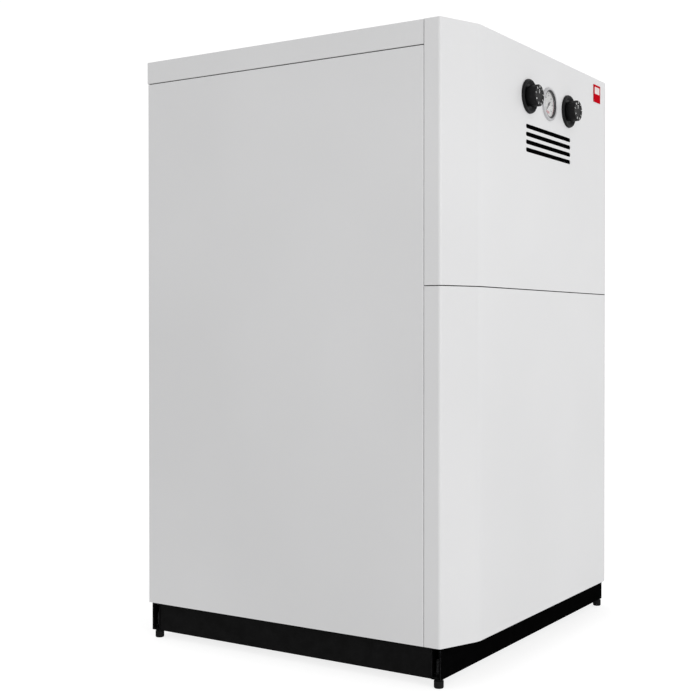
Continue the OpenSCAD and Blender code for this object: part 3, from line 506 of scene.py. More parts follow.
def lathe(bm, outline, place, segments=96, waves=None, material=0, closed=False):
    """Turns an (r, h) outline, in mm, about h; place puts it in the frame, waves(angle, r, h)
    shifts r, and closed joins the outline's end to its start."""
    rings = []
    for r, h in outline:
        if r == 0:
            rings.append([bm.verts.new(place @ mm(0, 0, h))])
            continue
        rings.append([])
        for k in range(segments):
            a = 2 * math.pi * k / segments
            out = r + (waves(a, r, h) if waves else 0)
            rings[-1].append(bm.verts.new(place @ mm(out * math.cos(a), out * math.sin(a), h)))
    pairs = list(zip(rings, rings[1:])) + ([(rings[-1], rings[0])] if closed else [])
    for low, high in pairs:
        if len(low) == 1 and len(high) == 1:
            continue
        for k in range(segments):
            n = (k + 1) % segments
            corners = [low[k % len(low)], low[n % len(low)], high[n % len(high)], high[k % len(high)]]
            face = bm.faces.new(list(dict.fromkeys(corners)))
            face.material_index = material


def facing_front(x, y, z):
    """Places a lathe so that its height points out of the front, at x, y, z in metres."""
    return turned(Matrix.Translation((x, y, z)), 90, "X")


def facing_back(x, y, z):
    """Places a lathe so that its height points out of the back."""
    return turned(Matrix.Translation((x, y, z)), -90, "X")


def flat_text(text, height, place, thick):
    """Generic numerals as a mesh: height in mm, in the XY plane of place, centred."""
    curve = bpy.data.curves.new("numeral", "FONT")
    curve.body = text
    curve.size = height * MM * 1.4
    curve.align_x = "CENTER"
    curve.align_y = "CENTER"
    curve.extrude = thick * MM / 2
    curve.resolution_u = 3
    obj = new_object("numeral", curve)
    mesh = applied(obj)
    bpy.data.objects.remove(obj)
    bpy.data.curves.remove(curve)
    mesh.transform(place)
    return mesh


def add_mesh(bm, mesh, material=0):
    """Adds a mesh's faces to bm with one material and frees the mesh."""
    before = len(bm.faces)
    bm.from_mesh(mesh)
    bm.faces.ensure_lookup_table()
    for face in bm.faces[before:]:
        face.material_index = material
    bpy.data.meshes.remove(mesh)


def add_box(bm, low, high, place=Matrix.Identity(4), material=0, bevel=0.0):
    """A box from low to high, in mm, with bevelled edges."""
    size = Vector(high) - Vector(low)
    centre = (Vector(high) + Vector(low)) / 2
    made = bmesh.ops.create_cube(bm, size=1, matrix=place @ Matrix.Translation(centre * MM)
                                 @ Matrix.Diagonal((*(size * MM), 1)))
    faces = {f for v in made["verts"] for f in v.link_faces}
    for face in faces:
        face.material_index = material
    if bevel:
        edges = list({e for v in made["verts"] for e in v.link_edges})
        bmesh.ops.bevel(bm, geom=edges, offset=bevel * MM, segments=2, profile=0.6,
                        affect="EDGES", material=material)


# ---------- controls ----------
def centre_of(node):
    low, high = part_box(node)
    return (low + high) / 2


def half_width(node):
    """Half the width of a node, in mm."""
    low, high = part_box(node)
    return (high.x - low.x) / 2 / MM


def front_of(node):
    """The flat front of the casing at a node's middle, as a place for a lathe."""
    centre = centre_of(node)
    return facing_front(centre.x, FRONT, centre.z)


def knob(node):
    """Black control knob: fluted grip, rounded rim, dished face with numerals round it, shaft."""
    radius = half_width(node)
    out = (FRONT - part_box(node)[0].y) / MM
    place = front_of(node)
    bm = bmesh.new()

    def flutes(angle, r, h):
        deep = max(0.0, min(1.0, (out - 3.0 - h) / 3.0)) * (1 if r > radius - 0.6 else 0)
        return -0.28 * deep * (0.5 + 0.5 * math.cos(angle * 60)) ** 2

    dish, web = out - 0.8, 8
    outline = rounded([(0, dish), (radius - 7.5, dish, 0.5), (radius - 6.9, out - 0.2, 0.5),
                       (radius - 1.2, out, 1.0), (radius, out - 1.6, 1.0), (radius, 6),
                       (radius - 1.0, 2.6, 0.5), (radius - 3.0, 2.6), (radius - 3.0, web), (0, web)])
    lathe(bm, outline, place, 240, flutes)
    lathe(bm, [(0, web + 0.2), (3.0, web + 0.2), (3.0, -20), (0, -20)], place, 32)
    for number in range(9):
        spot = moved(turned(place, -40 * number), 0, radius - 4.3, out - 0.02)
        add_mesh(bm, flat_text(str(number), 4.1, spot, 0.24), 1)
    add_box(bm, (-0.5, 3.5, out - 1.0), (0.5, radius - 8.2, out - 0.5), place, 1, 0.1)
    make_piece(node + "_grip", bm, node, "black_plastic", ["black_plastic", "white_ink"],
               replaces=[node])


def knob_bezels():
    """Round plates behind the knobs: a raised rim that slopes into a deep seat."""
    low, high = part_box("knob_bezels")
    radius = (high.z - low.z) / 2 / MM
    hub = half_width("knob_left")
    outline = rounded([(hub - 8, 0.2), (hub + 2.6, 0.2, 1.0), (hub + 4.2, 1.4, 1.0),
                       (radius - 3.2, 4.7, 1.0), (radius - 0.8, 4.4, 1.0), (radius, 2.4, 0.5),
                       (radius, 0.1), (11.4, 0.1), (11.4, -5.8), (3.4, -5.8), (3.4, 0.2),
                       (hub - 8, 0.2)])
    bm = bmesh.new()
    for node in ("knob_left", "knob_right"):
        lathe(bm, outline, front_of(node), 128)
    make_piece("knob_bezels_moulded", bm, BODY, "black_plastic", replaces=["knob_bezels"])


def gauge():
    """Round thermometer: bright bezel, dark inner ring, printed dial, red arc and domed glass."""
    low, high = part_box("gauge_body")
    r = (high.z - low.z) / 2 / MM
    place = front_of("gauge_body")
    bm = bmesh.new()
    bezel = rounded([(r - 5.0, 1.2), (r - 4.4, 3.6, 0.5), (r - 2.4, 4.6, 0.8), (r - 0.5, 3.4, 0.8),
                     (r, 1.5, 0.3), (r, 0.1), (r - 4.6, 0.1), (r - 4.6, -33, 1.5), (8, -33),
                     (8, -39.5, 0.5), (0, -39.5)])
    lathe(bm, bezel, place, 128)
    lathe(bm, rounded([(r - 5.0, 1.2), (r - 5.1, 3.0, 0.3), (r - 5.9, 3.3, 0.3),
                       (r - 6.6, 1.0, 0.4), (r - 6.9, -1.2), (0, -1.3)], 3), place, 128, material=1)
    make_piece("gauge_case", bm, BODY, "grey_plastic", ["grey_plastic", "ring_grey"],
               replaces=["gauge_body"])
    gauge_dial(place, r - 7.0)
    bm = bmesh.new()
    dome = [(r - 6.3, 1.9), (r - 8, 2.35), (r - 14, 2.75), (0, 3.0), (0, 2.2), (r - 14, 1.95),
            (r - 8, 1.6), (r - 6.3, 1.2), (r - 6.3, 1.9)]
    lathe(bm, dome, place, 96)
    make_piece("gauge_pane", bm, BODY, "glass", replaces=["gauge_glass"])
    gauge_pointer(place)


# Where the degree scale starts, counter-clockwise from the right, and how far it goes clockwise
DIAL_START = 225
DIAL_SWEEP = 270


def gauge_dial(place, r):
    """Dial face with a degree scale from lower left to lower right and a red arc at its end."""
    bm = bmesh.new()
    lathe(bm, [(0, -1.15), (r, -1.15), (r, -1.25), (0, -1.25)], place, 96)
    for i in range(25):
        a = DIAL_START - DIAL_SWEEP * i / 24
        long = i % 4 == 0
        inner, half = (r - 4.0, 0.32) if long else (r - 2.6, 0.17)
        add_box(bm, (inner, -half, -1.16), (r - 1.2, half, -1.05), turned(place, a), 1)
        if long:
            spot = turned(moved(turned(place, a), r - 7.2, 0, -1.08), -a)
            add_mesh(bm, flat_text(str(i * 5), 2.6, spot, 0.06), 1)
    arc_band(bm, place, r - 1.1, r - 0.1, DIAL_START - DIAL_SWEEP, DIAL_START - DIAL_SWEEP * 0.75, 2)
    arc_band(bm, place, r * 0.55, r * 0.72, 236, 284, 2)
    make_piece("gauge_face", bm, BODY, "dial_card", ["dial_card", "black_ink", "red_ink"],
               replaces=["gauge_dial"])


def arc_band(bm, place, inner, outer, start, end, material, steps=32):
    """A thin printed band on the dial between two angles, in degrees."""
    def corner(radius, i, h):
        a = math.radians(start + (end - start) * i / steps)
        return bm.verts.new(place @ mm(radius * math.cos(a), radius * math.sin(a), h))
    loops = [[corner(rad, i, h) for i in range(steps + 1)]
             for rad, h in ((inner, -1.16), (inner, -1.10), (outer, -1.10), (outer, -1.16))]
    for k in range(4):
        a, b = loops[k], loops[(k + 1) % 4]
        for i in range(steps):
            bm.faces.new((a[i], a[i + 1], b[i + 1], b[i])).material_index = material
    for i in (0, steps):
        bm.faces.new([loop[i] for loop in loops]).material_index = material


def gauge_pointer(place):
    """Tapered pointer with a counterweight tail and a domed cap, on its arbor."""
    bm = bmesh.new()
    at = turned(place, DIAL_START - 90)
    shape = [(-0.7, -7), (0.7, -7), (0.95, -4), (0.9, 3), (0.3, 15), (-0.3, 15), (-0.9, 3), (-0.95, -4)]
    tops = [bm.verts.new(at @ mm(x, y, 0.35)) for x, y in shape]
    lows = [bm.verts.new(at @ mm(x, y, -0.1)) for x, y in shape]
    bm.faces.new(tops)
    bm.faces.new(lows[::-1])
    for i in range(len(shape)):
        n = (i + 1) % len(shape)
        bm.faces.new((lows[i], lows[n], tops[n], tops[i]))
    cap = rounded([(0, 0.95), (1.6, 0.9, 0.6), (2.6, 0.3, 0.4), (2.6, -0.3), (1.4, -0.3),
                   (1.4, -4.8), (0, -4.8)])
    lathe(bm, cap, place, 48)
    make_piece("gauge_pointer", bm, "needle", "black_plastic", ["needle_grey"],
               replaces=["gauge_needle"])


def badge():
    """Plain square badge: red frame, white field and a red bar along its foot."""
    half = half_width("name_badge")
    place = front_of("name_badge")
    bm = bmesh.new()
    add_box(bm, (-half, -half, 0.1), (half, half, 1.1), place, 0, 0.35)
    add_box(bm, (-half + 5.0, -0.05 * half, 1.0), (half - 5.0, half - 4.5, 1.3), place, 1, 0.1)
    add_box(bm, (-half + 5.0, -half + 4.5, 1.0), (half - 5.0, -0.3 * half, 1.45), place, 0, 0.15)
    make_piece("badge_plate", bm, BODY, "badge_red", ["badge_red", "badge_white"],
               replaces=["name_badge"])


def slot_screen():
    """Black sheet behind the air slots, with a side plate at each end, that stands in for the shade
    inside so that nothing inside shows.
    """
    # Painted shade: a black sheet in the darker copy of the black paint stands in for the dark inside
    # behind the slots.
    bm = bmesh.new()
    place = Matrix.Translation((0, FRONT, centre_of("knob_left").z))
    half, low, high = 112, -106, -41
    add_box(bm, (0.5 - half, 7, low + 0.5), (half - 0.5, 7.8, high - 0.5), place, 0, 0.2)
    for x in (-half, half - 1):
        add_box(bm, (x, 1.6, low), (x + 1, 8, high), place, 0, 0.2)
    make_piece("slot_shade_sheet", bm, BODY, "base_paint", ["shaded_black_paint"], smooth=False)


# ---------- pipes, tubes and wires ----------
MOUNTS = {mount["name"]: mount for mount in frame["record"]["mounts"]}


def spot_of(mount):
    """Where a mount of the record sits, in metres."""
    return Vector(MOUNTS[mount]["pos_m"])


def radius_of(mount):
    """Radius of a round mount, in mm."""
    return MOUNTS[mount]["dims"]["r_mm"]


def eased(points, reach, steps=7):
    """The path in metres with each corner rounded, starting reach millimetres away from it."""
    points = [Vector(p) for p in points]
    path = [points[0]]
    for a, b, c in zip(points, points[1:], points[2:]):
        back = min(reach * MM, (a - b).length * 0.48, (c - b).length * 0.48)
        path += corner_curve(b, a - b, c - b, back, steps)
    return path + [points[-1]]


def aimed(at, axis):
    """Places a lathe at a point in metres, with its height along axis."""
    turn = Vector((0, 0, 1)).rotation_difference(Vector(axis))
    return Matrix.Translation(at) @ turn.to_matrix().to_4x4()


def swept(bm, path, radius, sides=16, material=0):
    """A closed round tube along path; radius in mm, or one radius for each point."""
    ahead = [(b - a).normalized() for a, b in zip(path, path[1:])]
    up = ahead[0].orthogonal().normalized()
    rings = []
    for i, point in enumerate(path):
        along = (ahead[max(i - 1, 0)] + ahead[min(i, len(ahead) - 1)]).normalized()
        up = (up - along * up.dot(along)).normalized()
        side = along.cross(up)
        r = (radius[i] if isinstance(radius, list) else radius) * MM
        turns = [2 * math.pi * k / sides for k in range(sides)]
        rings.append([bm.verts.new(point + (up * math.cos(a) + side * math.sin(a)) * r) for a in turns])
    for low, high in zip(rings, rings[1:]):
        for k in range(sides):
            n = (k + 1) % sides
            bm.faces.new((low[k], low[n], high[n], high[k])).material_index = material
    bm.faces.new(rings[0][::-1]).material_index = material
    bm.faces.new(rings[-1]).material_index = material


def hexed(radius, angle):
    """Distance from the axis to the flat of a hexagon with that corner radius."""
    return radius * math.cos(math.pi / 6) / math.cos(angle % (math.pi / 3) - math.pi / 6)


def add_hex(bm, place, radius, low, high, material=0, inner=0.0):
    """A chamfered hexagon from low to high along the height of place, in mm."""
    outline = [(inner, low), (radius * 0.88, low), (radius, low + radius * 0.07),
               (radius, high - radius * 0.07), (radius * 0.88, high), (inner, high)]
    lathe(bm, outline, place, 48, lambda a, r, h: min(0.0, hexed(radius, a) - r), material,
          closed=inner > 0)


def add_screw(bm, place, radius, material=0):
    """A domed screw head with a cross recess, standing on the plane of place."""
    tall = radius * 0.55
    lathe(bm, rounded([(0, 0), (radius, 0, 0.1), (radius * 0.95, tall * 0.6, 0.5),
                       (radius * 0.55, tall, 0.5), (0, tall)]), place, 24, material=material)
    half = Vector((radius * 0.6, radius * 0.1, 0))
    for turn in (0, 90):
        add_box(bm, Vector((0, 0, tall)) - half, Vector((0, 0, tall + 0.1)) + half,
                turned(place, turn), material)


def drill(obj, place, radius, low, high):
    """Cuts a round hole into obj from low to high along the height of place, in mm."""
    bm = bmesh.new()
    lathe(bm, [(0, low), (radius, low), (radius, high), (0, high)], place, 48)
    cutter = new_object("drill", mesh_of("drill", bm))
    cut = add_modifier(obj, "bore", "BOOLEAN", object=cutter, operation="DIFFERENCE", solver="EXACT",
                       use_self=True)
    shaped = applied(obj)
    obj.modifiers.remove(cut)
    obj.data = shaped
    bpy.data.objects.remove(cutter)


def thread_lines(start, end, pitch, r, chamfer=1.2):
    """Outline points of a threaded end, close enough for the thread to show."""
    count = int((end - chamfer - start) / pitch * 6)
    step = (end - chamfer - start) / count
    return [(r, start + k * step) for k in range(count + 1)] + [(r - chamfer, end)]


def thread_waves(r, low, high, pitch, depth):
    """Shifts the radius along a helix between low and high."""
    def shift(angle, radius, h):
        if abs(radius - r) > 0.01 or not low < h < high:
            return 0.0
        return -depth * (0.5 + 0.5 * math.cos(2 * math.pi * h / pitch - angle))
    return shift


# Pitch of the pipe threads, in mm
WATER_PITCH = 2.309
GAS_PITCH = 1.814


def water_pipes():
    """Flow and return pipes: plain tube, hexagon collar and a threaded end behind the casing."""
    bm = bmesh.new()
    low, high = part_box("flow_and_return_pipes")
    end = (high.y - low.y) / MM
    collar = (BACK - low.y) / MM + 28
    for mount in ("flow_connection", "return_connection"):
        at = spot_of(mount)
        r = radius_of(mount)
        place = facing_back(at.x, low.y, at.z)
        outline = [(r - 4, 0), (r + 0.3, 0), (r + 0.3, collar + 7), (r, collar + 7.2)]
        outline += thread_lines(collar + 8.5, end, WATER_PITCH, r) + [(r - 4, end)]
        threads = thread_waves(r, collar + 9, end - 1, WATER_PITCH, 1.3)
        lathe(bm, outline, place, 96, threads, closed=True)
        add_hex(bm, place, r + 7, collar, collar + 7, inner=r)
    make_piece("water_pipe_runs", bm, BODY, "pipe_steel", replaces=["flow_and_return_pipes"])


def gas_pipe():
    """Gas supply pipe with two malleable elbows, a hexagon and a threaded end."""
    low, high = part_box("gas_supply_pipe")
    at = spot_of("gas_inlet")
    r = radius_of("gas_inlet")
    pipe = r - 0.2
    bend_half = 1.08 * pipe * MM
    bend_reach, elbow_arm = 26, 34
    y_front, z_up = low.y + bend_half, high.z - bend_half
    points = [Vector((at.x, BACK + 20 * MM, at.z)), Vector((at.x, y_front, at.z)),
              Vector((at.x, y_front, z_up)), Vector((high.x, y_front, z_up))]
    bm = bmesh.new()
    swept(bm, eased(points, bend_reach), pipe, 32)
    for a, b, c in zip(points, points[1:], points[2:]):
        arms = [(a - b).normalized() * MM, (c - b).normalized() * MM]
        tips = [b + elbow_arm * arm for arm in arms]
        swept(bm, eased([tips[0], b, tips[1]], bend_reach), pipe + 3.2, 32)
        for tip, arm in zip(tips, arms):
            ring = [tip + step * arm for step in (-9, -7.5, -0.5, 0.5)]
            swept(bm, ring, [pipe + 3.4, pipe + 5.2, pipe + 5.2, pipe + 4.2], 32)
    end = (high.y - BACK) / MM
    place = facing_back(at.x, BACK, at.z)
    outline = [(r - 3, 18), (r - 0.4, 18)] + thread_lines(25.5, end, GAS_PITCH, r) + [(r - 3, end)]
    lathe(bm, outline, place, 64, thread_waves(r, 26, end - 1, GAS_PITCH, 1.0), closed=True)
    add_hex(bm, place, pipe + 5, 20, 25, inner=r - 1)
    make_piece("gas_pipe_run", bm, BODY, "pipe_steel", replaces=["gas_supply_pipe"])


def flue_spigot():
    """Sheet spigot with a swaged groove, a lock seam, a turned lip and a riveted collar."""
    low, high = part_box("flue_spigot")
    at = spot_of("flue_outlet")
    r = radius_of("flue_outlet")
    back = (BACK - low.y) / MM
    end = (high.y - low.y) / MM
    place = facing_back(at.x, low.y, at.z)

    def dents(angle, radius, h):
        groove = math.exp(-((h - end + 15) / 2.2) ** 2) if h > back + 4 else 0.0
        off = math.degrees(angle) - 250
        seam = math.exp(-((abs(off) - 3.2) / 0.8) ** 2) if radius > r - 1.5 and h > back + 4 else 0.0
        return -1.4 * groove - 0.7 * seam

    heights = [back + 3.6 + k * (end - back - 5.2) / 40 for k in range(41)]
    bm = bmesh.new()
    outline = [(r - 3.4, 0.2), (r - 2.2, 0.2), (r - 2.2, back + 0.2), (r - 0.1, back + 0.4)]
    outline += [(r - 0.1, h) for h in heights] + [(r - 0.4, end - 0.4), (r - 1.0, end - 0.1)]
    outline += [(r - 1.6, end - 0.5)] + [(r - 1.9, h) for h in heights[::-1]] + [(r - 3.4, back + 0.4)]
    lathe(bm, outline, place, 240, dents, closed=True)
    collar = rounded([(r, back + 0.2), (r + 8, back + 0.2, 0.2), (r + 8, back + 1.2, 0.4),
                      (r + 2.4, back + 1.2, 1.2), (r + 0.6, back + 3.0, 0.4), (r, back + 3.0)])
    lathe(bm, collar, place, 160, closed=True)
    for k in range(6):
        spot = moved(turned(place, 60 * k + 15), r + 5, 0, back + 1.2)
        lathe(bm, [(0, -0.2), (2.2, -0.2), (2.0, 0.5), (1.2, 1.0), (0, 1.15)], spot, 20)
    make_piece("flue_spigot_sheet", bm, BODY, "zinc_steel", replaces=["flue_spigot"])


# Places inside the casing that the pilot's tubes and wires run between, in metres
PILOT_X = centre_of("pilot_burner").x
PILOT_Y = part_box("pilot_burner")[1].y - 8 * MM
BURNER_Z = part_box("pilot_burner")[0].z + 20 * MM
STACK_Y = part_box("section_left_end")[0].y + 23 * MM
GAP_Z = BURNER_Z - 27 * MM


def valve_spot(x, y, z):
    """A point given in mm from the centre of the gas valve, in metres."""
    axis = centre_of("valve_knob")
    return Vector((axis.x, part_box("valve_spindle")[0].y, axis.z)) + mm(x + 10, y + 38, z)


def union_nut(bm, at, axis, material=0, radius=5.5, length=10):
    """A hexagon union nut on a tube, from at along axis."""
    place = aimed(at, axis)
    add_hex(bm, place, radius, 0, length, material)
    lathe(bm, [(0, length), (radius * 0.72, length), (radius * 0.5, length + 3), (0, length + 3)],
          place, 24, material=material)


def under_pilot(x, start, out):
    """First points of a lead: start mm below the burner at x, down, then forward from the stack."""
    return [(x, PILOT_Y, BURNER_Z - start * MM), (x, PILOT_Y, GAP_Z), (x, STACK_Y - out * MM, GAP_Z)]


def thermocouple():
    """Copper-sheathed thermocouple lead with a dark probe in the pilot flame."""
    bm = bmesh.new()
    x = PILOT_X - 13 * MM
    end = valve_spot(6, 14, -30.2)
    climb = [(x - 20 * MM, end.y + 6 * MM, BURNER_Z + 30 * MM), end - mm(0, 0, 15), end]
    swept(bm, eased(under_pilot(x, 16, 30) + climb, 16), 1.5, 12)
    place = Matrix.Translation((x, PILOT_Y, BURNER_Z))
    lathe(bm, rounded([(0, -16), (3.4, -16, 0.5), (3.4, 12, 0.5), (2.6, 14, 0.5), (2.6, 28, 1.5),
                       (0, 30)]), place, 32, material=1)
    union_nut(bm, end, (0, 0, -1), 2)
    make_piece("thermocouple_lead", bm, BODY, "copper", ["copper", "stainless", "brass"],
               replaces=["thermocouple"])


def ignition_lead():
    """Glazed electrode with a bent tip, and its silicone lead to the igniter."""
    bm = bmesh.new()
    x = PILOT_X + 13 * MM
    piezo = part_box("piezo_body")[1]
    px, pz = centre_of("piezo_body").x, piezo.z - 12 * MM
    end = Vector((px, piezo.y if piezo.y < STACK_Y - 54 * MM else STACK_Y - 79 * MM, pz))
    climb = [(px - 34 * MM, STACK_Y - 44 * MM, BURNER_Z + 40 * MM), (px, STACK_Y - 54 * MM, pz), end]
    swept(bm, eased(under_pilot(x, 18, 44) + climb, 18), 2.5, 14, 1)
    place = Matrix.Translation((x, PILOT_Y, BURNER_Z))
    lathe(bm, rounded([(0, -18), (3.4, -18, 0.8), (3.4, 2, 0.5), (2.9, 3, 0.5), (2.9, 15, 0.8),
                       (0, 16)]), place, 32)
    tip = [(x, PILOT_Y, BURNER_Z + 15 * MM), (x, PILOT_Y, BURNER_Z + 24 * MM),
           (x - 0.6 * MM, PILOT_Y, BURNER_Z + 29 * MM)]
    swept(bm, eased(tip, 4), 1.0, 12, 2)
    finishes = ["ceramic_white", "wire_white", "bright_steel"]
    make_piece("ignition_lead", bm, BODY, "ceramic_white", finishes, replaces=["ignition_electrode"])


def pilot_gas_tube():
    """Bent aluminium tube from the valve to the pilot burner, with its union nut."""
    bm = bmesh.new()
    end = valve_spot(24, 20, -30.2)
    climb = [(PILOT_X, STACK_Y - 40 * MM, BURNER_Z + 36 * MM), end - mm(0, 0, 10), end]
    swept(bm, eased(under_pilot(PILOT_X, 9.2, 36) + climb, 14), 2.9, 16)
    union_nut(bm, end, (0, 0, -1), 1, 6.5, 7)
    make_piece("pilot_gas_tube", bm, BODY, "alu_cast", ["alu_cast", "brass"], replaces=["pilot_tube"])


def capillaries():
    """Three copper capillaries from the controls round to the pocket in the upper left port."""
    bm = bmesh.new()
    low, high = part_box("port_plugs")
    pocket = Vector((low.x, centre_of("port_plugs").y, high.z - 40 * MM))
    z = centre_of("knob_left").z
    starts = [Vector((centre_of(node).x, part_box("thermostats")[1].y - 5 * MM, z - 12 * MM))
              for node in ("knob_left", "knob_right")]
    starts.insert(1, Vector((0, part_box("gauge_body")[1].y, z)))
    for i, start in enumerate(starts):
        points = [start, start + mm(0, 10, 0), Vector((start.x, FRONT, z)) + mm(-20, 80, 4 * i - 40),
                  Vector((pocket.x, FRONT, z)) + mm(3 * i - 11, 96, -50 - 4 * i),
                  pocket + mm(3 * i - 11, 0, 60 - 4 * i), pocket + mm(i - 11, 3 * (i - 1), 0),
                  pocket + mm(8, 3 * (i - 1), 0)]
        swept(bm, eased(points, 22, 8), 1.0, 12)
        swept(bm, [start, start + mm(0, 7, 0)], 1.9, 16, 1)
    make_piece("capillary_runs", bm, BODY, "copper", ["copper", "brass"], replaces=["capillary_tubes"])


def control_wires():
    """Two insulated wires between the thermostats, behind the gauge."""
    bm = bmesh.new()
    y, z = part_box("thermostats")[1].y, centre_of("knob_left").z
    knobs = [Vector((centre_of(node).x, y, z)) for node in ("knob_left", "knob_right")]
    for k, shift in enumerate((-8, 8)):
        a, b = (spot + mm(shift, 0, 8.5) for spot in knobs)
        back = mm(0, 16 + 5 * k, -3)
        middle = (a + b) / 2 + mm(0, 30, -14 - 6 * k)
        swept(bm, eased([a, a + back, middle, b + back, b], 24, 10), 1.3, 12, k)
        for tip in (a, b):
            add_box(bm, (-3.6, -9, -1.8), (3.6, 3, 1.8), Matrix.Translation(tip), k, 0.6)
    make_piece("control_wires", bm, BODY, "black_plastic", ["wire_brown", "wire_blue"])


def gas_valve():
    """Die-cast multifunction gas valve: bolted flanges, solenoid, governor cap and test points."""
    bm = bmesh.new()
    at = Matrix.Translation(valve_spot(0, 0, 0))
    add_box(bm, (-41, -27.5, -29.5), (41, 27.5, 20), at, 0, 3.0)
    add_box(bm, (-36, -24, 18), (36, 24, 26), at, 0, 2.0)
    add_box(bm, (-30, -32, -20), (30, -26, 20), at, 0, 2.0)
    for k in range(6):
        add_box(bm, (-38, -28.2, -26 + k * 9), (-31, -27, -22 + k * 9), at, 0, 0.5)
    for side in (-1, 1):
        low, high = sorted((side * 41, side * 51.5))
        add_box(bm, (low, -21, -24), (high, 21, 16), at, 0, 2.5)
        for y in (-15, 15):
            for z in (-18, 10):
                add_screw(bm, turned(moved(at, side * 51.5, y, z), 90 * side, "Y"), 3.2, 4)
    for x in (-33, 33):
        for y in (-21, 21):
            add_screw(bm, moved(at, x, y, 26), 3.0, 4)
    coil = [(0, 24), (15, 24)]
    for k in range(5):
        coil += [(15, 26 + 3.4 * k), (14.2, 26.6 + 3.4 * k), (14.2, 28.6 + 3.4 * k), (15, 29.2 + 3.4 * k)]
    coil += [(14.2, 44.6), (5, 44.8), (4.6, 46), (0, 46)]
    lathe(bm, coil, moved(at, 22, 0, 0), 48, material=1)
    add_box(bm, (31, -8, 28), (41, 8, 42), at, 1, 1.5)
    lathe(bm, rounded([(0, 24), (8, 24), (8, 32.5, 1.2), (7, 34, 0.6), (0, 34)]),
          moved(at, -24, -10, 0), 40, material=1)
    for x in (-24, -6):
        lathe(bm, [(0, 24), (4, 24), (4, 26), (3.1, 26.4), (3.5, 28), (3.0, 31), (2.4, 32), (0, 32)],
              moved(at, x, 14, 0), 24, material=2)
    outlet, bend = valve_spot(51, 0, -4), valve_spot(80, 0, -4)
    down = Vector((bend.x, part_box("gas_manifold")[0].y + 20 * MM, BURNER_Z + 10.5 * MM))
    points = [outlet, bend, Vector((down.x, down.y, bend.z - 40 * MM)), down]
    swept(bm, eased(points, 20), 10, 32, 3)
    union_nut(bm, outlet, (1, 0, 0), 3, 15, 10)
    valve = make_piece("gas_valve_body", bm, BODY, "alu_cast",
                       ["alu_cast", "black_plastic", "brass", "pipe_steel", "bright_steel"],
                       replaces=["gas_valve"])
    low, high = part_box("valve_spindle")
    spindle = centre_of("valve_spindle")
    drill(valve, facing_back(spindle.x, low.y, spindle.z), 4.2, 0, (high.y - low.y) / MM + 8)


# ---------- insulation ----------
# Remesh size, furthest swelling, held radius round a pin, spacing of the pins and their distance
# from an edge, all in metres
WOOL_VOXEL = 0.007
WOOL_CAP = 0.006
PIN_REACH = 0.016
PIN_SPACING = 0.15
PIN_MARGIN = 0.045
# Frames that the swelling takes
SWELL_STEPS = 20
# How much a face must look across its slab to be foil and not a cut edge
FOIL_SLOPE = 0.45
# How far from a pin's middle its washers are looked for, and at most placed, in metres
WASHER_RAY = 0.05
WASHER_REACH = 0.02
# Name of each blanket by the axis it is thin along and the side of the boiler it is on
BLANKETS = {(1, -1): "wool_front", (1, 1): "wool_back", (0, -1): "wool_left", (0, 1): "wool_right",
            (2, 1): "wool_top"}


def panels_mesh():
    """The insulation's CAD solids as one bmesh."""
    bm = bmesh.new()
    bm.from_mesh(NODES["insulation_panels"].data)
    bmesh.ops.remove_doubles(bm, verts=bm.verts, dist=0.00001)
    bm.verts.index_update()
    return bm


def islands(bm):
    """The vertices of each separate solid in bm, in the mesh's own order."""
    seen, found = set(), []
    for seed in bm.verts:
        if seed.index in seen:
            continue
        seen.add(seed.index)
        stack, island = [seed], []
        while stack:
            v = stack.pop()
            island.append(v)
            for other in (e.other_vert(v) for e in v.link_edges):
                if other.index not in seen:
                    seen.add(other.index)
                    stack.append(other)
        found.append(island)
    return found


def slab_of(island):
    """Lowest corner, highest corner and thin axis of a slab."""
    spread = list(zip(*(v.co for v in island)))
    low, high = Vector([min(c) for c in spread]), Vector([max(c) for c in spread])
    size = high - low
    return low, high, min(range(3), key=lambda i: size[i])


def pin_grid(low, high, flat):
    """Where the fixing pins go through a slab, at mid thickness."""
    a, b = [i for i in range(3) if i != flat]
    room = {i: high[i] - low[i] - 2 * PIN_MARGIN for i in (a, b)}
    count = {i: max(1, round(room[i] / PIN_SPACING)) for i in (a, b)}
    spots = []
    for m in range(count[a] + 1):
        for n in range(count[b] + 1):
            p = (low + high) / 2
            p[a] = low[a] + PIN_MARGIN + room[a] * m / count[a]
            p[b] = low[b] + PIN_MARGIN + room[b] * n / count[b]
            spots.append(p)
    return spots


def pipe_holes():
    """Axis, centre and radius of the holes the blankets leave for port plugs and pipes."""
    plug_hole, pipe_hole, plug_half = 0.044, 0.042, 0.040
    low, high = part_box("port_plugs")
    y = centre_of("port_plugs").y
    lower_pipe = spot_of("return_connection")
    holes = [(0, Vector((0, y, z)), plug_hole) for z in (low.z + plug_half, high.z - plug_half)]
    return holes + [(1, Vector((lower_pipe.x, 0, lower_pipe.z)), pipe_hole)]


HOLES = pipe_holes()


def settle(point, slab):
    """point kept inside its slab's CAD box and outside its holes."""
    low, high, flat = slab
    gap = 0.3 * MM
    out = Vector([min(max(point[i], low[i] + gap), high[i] - gap) for i in range(3)])
    for axis, centre, radius in HOLES:
        off = out - centre
        off[axis] = 0
        if axis == flat and 0 < off.length < radius:
            out += off.normalized() * (radius - off.length)
    return out


